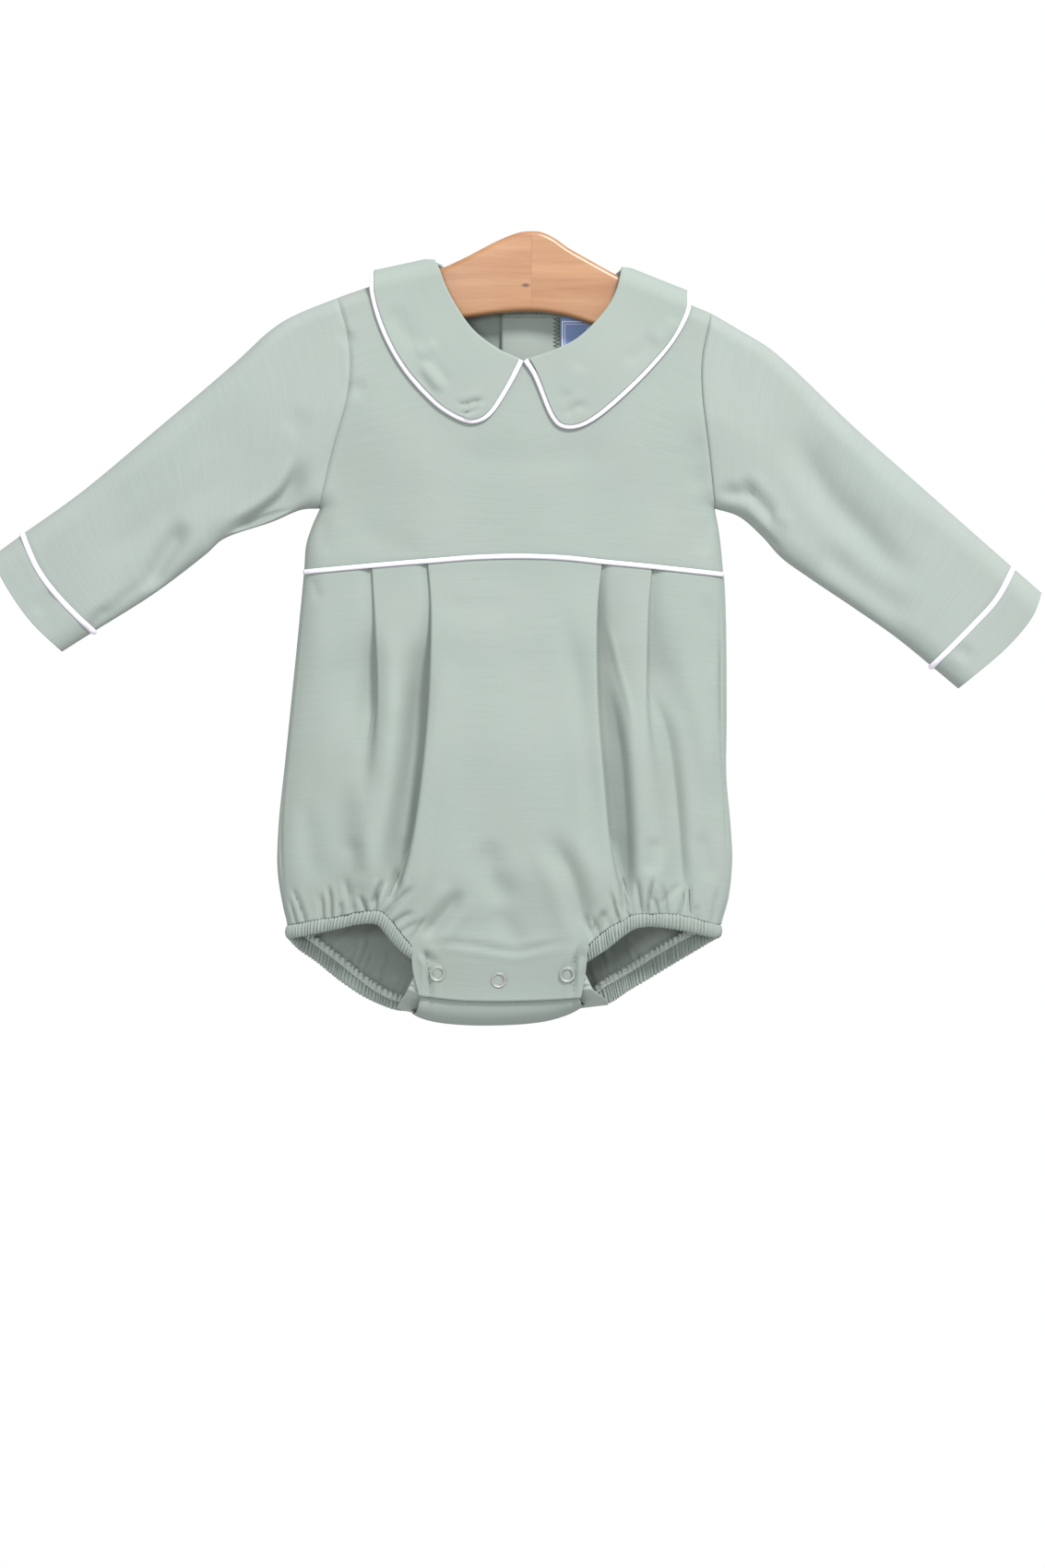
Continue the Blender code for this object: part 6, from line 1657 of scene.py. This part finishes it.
def turn_casing(side):
    """The end that turns up in front of the crotch fold."""
    rows = CASING_TURNS[side]
    seam, free = (Line(rows[:, i:i + 2]).part(0.0, 1.0, TURN_ROWS) for i in (0, 2))
    along = np.linspace(0.0, 1.0, TURN_ROWS)
    forward = np.interp(along, np.linspace(0.0, 1.0, len(rows)), rows[:, 4])
    columns = []
    for share in np.linspace(0.0, 1.0, TURN_COLUMNS):
        x, z = lerp(seam, free, share).T
        dome = TURN_DOME * (math.sin(math.pi * share) ** 0.6 - 0.5)
        rib = TURN_RIB * np.sin(along * TURN_RIBS + TURN_RIB_SLANT * share)
        rib = rib * smooth(along / TURN_RIB_RUN)
        front = -(depth(x, z, FRONT, False) - UNDER_TAB + TURN_LIFT + dome + rib)
        columns.append(off_plane(x, lerp(depth(x, z, BACK, False), front, forward), z))
    # The casing end uses the lightened jersey, which is painted light against the shade under the
    # tab.
    return lay_cloth(
        "leg_band_end_%s" % side, np.stack(columns, axis=1), PAINTED_LIGHT_JERSEY, 1.0,
        flip=side == "right",
    )


# ---------------------------------------------------------------- small pieces

NECK_BINDING_LIFT = -2 * CLOTH_WALL - LAY_GAP - 0.2
TAB_STITCHES = (
    curve(-63, -432, -61.4, -438.3, -60, -456), curve(26.5, -431, 25.3, -437, 24.7, -455.6),
)
# Pitch, length and radius of stitches and of zigzag threads.
STITCH, NECK_STITCH = (2.9, 2.1, 0.3), (2.4, 1.8, 0.26)
LEG_ZIGZAG, BUTTONHOLE_ZIGZAG, EDGE_ZIGZAG = (0.85, 1.5, 0.24), (0.45, 0.75, 0.2), (1.1, 1.8, 0.3)
PLACKET_SEAM_X = 14.4
BUTTONHOLE_HALF, BUTTONHOLE_SPREAD = 6.6, 1.1
SNAP_RIM = pairs(
    4.7, 0, 4.72, 0.25, 4.64, 0.5, 4.5, 0.56, 4.36, 0.5, 4.26, 0.28, 4.22, 0.04, 3.62, 0.04,
    3.56, 0.34, 3.44, 0.42, 3.32, 0.34, 3.26, 0.1, 3.26, 0
)
BUTTON_RIM = pairs(
    0, 0, 4.6, 0, 5.2, 0.35, 5.5, 1, 5.35, 1.7, 4.9, 2.15, 4.3, 2.2, 3.7, 1.8, 3.2, 1.45, 0, 1.35
)
BUTTON_HOLES = ((1.2, 1.2), (-1.2, 1.2), (-1.2, -1.2), (1.2, -1.2))
# The crossed threads of a button: half lengths, how far the two lie apart, how high.
THREAD_SIZE = Matrix.Diagonal((1.95 * MM, 0.2 * MM, 0.32 * MM, 1.0))
THREAD_APART, THREAD_HEIGHT, THREAD_CROSSING = 0.22, 1.75, 0.15
HANGER_HALF_THICKNESS, HANGER_EDGE, JOINT_TOUCH = 6.0, 3.1, 0.03
HANGER_SHARP_ANGLE = math.radians(38.0)


def inner_sheet(name, left, right, top, bottom, columns, rows, wall, material, replaces,
                lift=0.0):
    """A flat strip that lies on the inside of the back."""
    x, z = np.meshgrid(np.linspace(left, right, columns), np.linspace(bottom, top, rows))
    lift = under_lap(x) - (CLOTH_WALL + LAY_GAP) + lift
    grid = on_cloth(off_plane(x, 0.0, z)[..., ::2], BACK, lift)
    return lay_cloth(name, grid, material, wall, replaces, flip=True)


def put_on_cloth(name, bm, centre, layer, material, replaces=()):
    """A small part that was made at the origin, facing +Z, put on the cloth."""
    mesh = as_mesh(name, bm)
    flat = np.array([centre])
    normal = Vector(outward_normal(flat, layer)[0])
    at = Vector(on_cloth(flat, layer)[0]) + normal * LAY_GAP
    turn = normal.to_track_quat("Z", "Y").to_matrix().to_4x4()
    mesh.transform(Matrix.Translation(at * MM) @ turn)
    finish_piece(name, mesh, material, replaces)


def turned(rim, closed):
    """A rim turned on a lathe."""
    bm = bmesh.new()
    knots = [bm.verts.new((r * MM, 0.0, h * MM)) for r, h in rim]
    line = [bm.edges.new(pair) for pair in zip(knots, knots[1:] + knots[:closed])]
    bmesh.ops.spin(
        bm, geom=knots + line, cent=(0, 0, 0), axis=(0, 0, 1), angle=math.tau, steps=40,
        use_merge=True,
    )
    if not closed:
        bmesh.ops.remove_doubles(bm, verts=bm.verts, dist=0.000005)
    bmesh.ops.recalc_face_normals(bm, faces=bm.faces)
    return bm


def sew_button(number, centre):
    put_on_cloth(
        "sewn_button_%d" % number, turned(BUTTON_RIM, False), centre, BACK, RESIN,
        ("back_button_%d" % number,),
    )
    bm = bmesh.new()
    for a, b in ((0, 2), (1, 3)):
        for side in (-THREAD_APART, THREAD_APART):
            ends = [Vector((*BUTTON_HOLES[i], 0.0)) for i in (a, b)]
            way = (ends[1] - ends[0]).normalized()
            turn = way.to_track_quat("X", "Z").to_matrix().to_4x4()
            across = Vector((-way.y, way.x, 0.0)) * side
            up = Vector((0.0, 0.0, THREAD_HEIGHT + a * THREAD_CROSSING))
            place = Matrix.Translation((across + up) * MM)
            bmesh.ops.create_uvsphere(
                bm, u_segments=8, v_segments=6, radius=1.0, matrix=place @ turn @ THREAD_SIZE
            )
    put_on_cloth("button_thread_%d" % number, bm, centre, BACK, PALE_THREAD)


def shape_hanger_half(side, slope, seed):
    """One board: its outline, given its thickness and a rounded edge but for the joint."""
    outline = HANGER[side]
    joint_x = outline[0][0]
    joint_side = math.copysign(JOINT_TOUCH, joint_x)
    bm = bmesh.new()
    front = []
    for x, z in Line(outline, 3).points:
        x = -joint_side if abs(x - joint_x) < 0.01 else x
        front.append(bm.verts.new(Vector((x, -HANGER_HALF_THICKNESS, z)) * MM))
    made = bmesh.ops.extrude_face_region(bm, geom=[bm.faces.new(front)])
    far = [v for v in made["geom"] if isinstance(v, bmesh.types.BMVert)]
    bmesh.ops.translate(bm, verts=far, vec=(0.0, 2 * HANGER_HALF_THICKNESS * MM, 0.0))
    bmesh.ops.recalc_face_normals(bm, faces=bm.faces)
    rims = []
    for edge in bm.edges:
        a, b = edge.verts
        at_joint = all(abs(v.co.x / MM + joint_side) < 0.01 for v in edge.verts)
        if abs(a.co.y - b.co.y) < 1e-6 and not at_joint:
            rims.append(edge)
    bmesh.ops.bevel(
        bm, geom=rims, offset=HANGER_EDGE * MM, segments=6, profile=0.5, affect="EDGES",
        material=-1,
    )
    name = "hanger_board_" + side
    mesh = as_mesh(name, bm)
    wood = clear_wood("wood_" + side, slope, seed)
    finish_piece(name, mesh, wood, ("hanger_%s_half" % side,))
    mesh.set_sharp_from_angle(angle=HANGER_SHARP_ANGLE)


def sew_waist_piping():
    flat = WAIST.part(0.004, 0.996, 260)
    out = outward_normal(flat, FRONT)
    run_tube(
        "waist_piping_cord", on_cloth(flat, FRONT) + out, out, WAIST_PIPING_ACROSS,
        PIPING_THROUGH, PIPING, ("waist_piping",),
    )


def inside_row(line, lift):
    """A row on the inside of the back, and the way into the romper there."""
    flat = line.part(0.0, 1.0, 160)
    row = on_cloth(flat, BACK, under_lap(flat[:, 0]) + lift, False)
    return row, np.tile((0.0, -1.0, 0.0), (len(row), 1))


def sew_seams():
    """The stitches that show: tab, placket, buttonholes and the neck inside."""
    # The tab stitches, placket overlock and neck stitches use the darkened thread, which is partly
    # painted shade.
    tab = [row_on_cloth(line, FRONT) for line in TAB_STITCHES]
    sew_stitches("tab_stitches", tab, *STITCH, SHADE_DARKENED_THREAD)
    placket = [
        row_on_cloth(curve(x, -46, x, -191.5), BACK)
        for x in (PLACKET_RIGHT_X - 1.8, -PLACKET_SEAM_X)
    ]
    across = curve(-PLACKET_SEAM_X, -189, PLACKET_SEAM_X, -189)
    placket.append(row_on_cloth(across, BACK, 0.0, 40))
    sew_stitches("placket_stitches", placket, *STITCH, PALE_THREAD)
    for number, (x, z) in enumerate(BUTTON_CENTRES, start=1):
        turns = np.linspace(0.0, math.tau, 60)
        loop = Line(np.stack([
            x + BUTTONHOLE_SPREAD * np.sin(turns), z + BUTTONHOLE_HALF * np.cos(turns)
        ], axis=1))
        row = row_on_cloth(loop, BACK, 0.1, 120)
        zigzag("buttonhole_%d" % number, *row, *BUTTONHOLE_ZIGZAG, PALE_THREAD)
    edge_x = PLACKET_RIGHT_X - 1.4
    edge = inside_row(curve(edge_x, -47.5, edge_x, -190), -2 * CLOTH_WALL - LAY_GAP - 0.15)
    zigzag("placket_overlock", *edge, *EDGE_ZIGZAG, SHADE_DARKENED_THREAD)
    seam = inside_row(curve(-17, -48.6, 38, -48.6), NECK_BINDING_LIFT - 0.65)
    sew_stitches("neck_stitches", [seam], *NECK_STITCH, SHADE_DARKENED_THREAD)


# ---------------------------------------------------------------- putting it together

front_yoke = cut_front_yoke()
back_bodice = {side: cut_back_half(side) for side in SIDES}
sleeves = {side: sew_sleeve(side) for side in SIDES}
collars = {side: sew_collar(side) for side in SIDES}
front_skirt = cut_front_skirt()
back_skirt = cut_back_skirt()
casings = {side: gather_casing(side) for side in SIDES}
casing_turns = {side: turn_casing(side) for side in SIDES}
sew_waist_piping()
# The facing uses the lightened jersey, which is painted light against the shade inside the neck.
facing = inner_sheet(
    "placket_facing_cloth", PLACKET_LEFT_X + 0.6, PLACKET_RIGHT_X, -39.0, -191.0, 24, 100,
    CLOTH_WALL, PAINTED_LIGHT_JERSEY, ("back_placket_facing",),
)
label = inner_sheet(
    "neck_label_ribbon", 17.4, 37.0, -41.0, -70.4, 20, 30, 0.6, RIBBON, ("neck_label",)
)
neck_binding = inner_sheet(
    "neck_binding_cloth", PLACKET_LEFT_X + 1.0, 38.4, -46.2, -50.9, 40, 6, 0.6, JERSEY,
    (), -CLOTH_WALL,
)
for number, centre in enumerate(SNAP_CENTRES, start=1):
    put_on_cloth(
        "snap_rings_%d" % number, turned(SNAP_RIM, True), centre, FRONT, NICKEL,
        ("ring_snap_%d" % number,),
    )
for number, centre in enumerate(BUTTON_CENTRES, start=1):
    sew_button(number, centre)
sew_seams()
shape_hanger_half("left", 0.28, 3.1)
shape_hanger_half("right", -0.36, 7.7)

# ---------------------------------------------------------------- studio

VIEW_HEIGHT_METRES, CAMERA_DISTANCE, SENSOR = 0.935, 4.0, 36.0
AIM = Vector((-0.0054, 0.0, -0.3295))
FLOOR_Z, FLOOR_SIZE = -1.3, 2.6
scene = bpy.context.scene


def show(name, data, place):
    made = bpy.data.objects.new(name, data)
    made.location = place
    scene.collection.objects.link(made)
    return made


camera = bpy.data.cameras.new("studio_camera")
camera.sensor_fit = "VERTICAL"
camera.sensor_height = SENSOR
camera.lens = SENSOR * CAMERA_DISTANCE / VIEW_HEIGHT_METRES
scene.camera = show("studio_camera", camera, AIM + Vector((0.0, -CAMERA_DISTANCE, 0.0)))
scene.camera.rotation_euler = (math.pi / 2, 0.0, 0.0)

bm = bmesh.new()
bmesh.ops.create_grid(bm, x_segments=1, y_segments=1, size=FLOOR_SIZE)
bmesh.ops.translate(bm, verts=bm.verts, vec=(0.0, 0.0, FLOOR_Z))
floor = show("studio_floor", as_mesh("studio_floor", bm), (0.0, 0.0, 0.0))
pale = Finish("studio_floor", 0.9)
pale.feed(
    pale.shader.inputs["Base Color"],
    pale.blend(pale.noise(pale.place("Object"), 3.0), (0.5, 0.5, 0.5), (0.52, 0.52, 0.52)),
)
floor.data.materials.append(pale.material)

for name, place, size, power in (
    ("key_light", (1.2, -2.4, 2.3), 0.9, 186.0), ("fill_light", (-0.8, -3.6, 0.3), 0.8, 40.0),
):
    lamp = bpy.data.lights.new(name, "AREA")
    lamp.shape = "DISK"
    lamp.size = size
    lamp.energy = power
    light = show(name, lamp, place)
    light.rotation_euler = (AIM - Vector(place)).to_track_quat("-Z", "Y").to_euler()

world = bpy.data.worlds.new("white_studio")
world.use_nodes = True
background = world.node_tree.nodes["Background"].inputs
background["Color"].default_value = (1.0, 1.0, 1.0, 1.0)
background["Strength"].default_value = 1.0
scene.world = world
scene.view_settings.view_transform = "Standard"
scene.view_settings.look = "None"
scene.view_settings.exposure = 0.0
scene.view_settings.gamma = 1.0
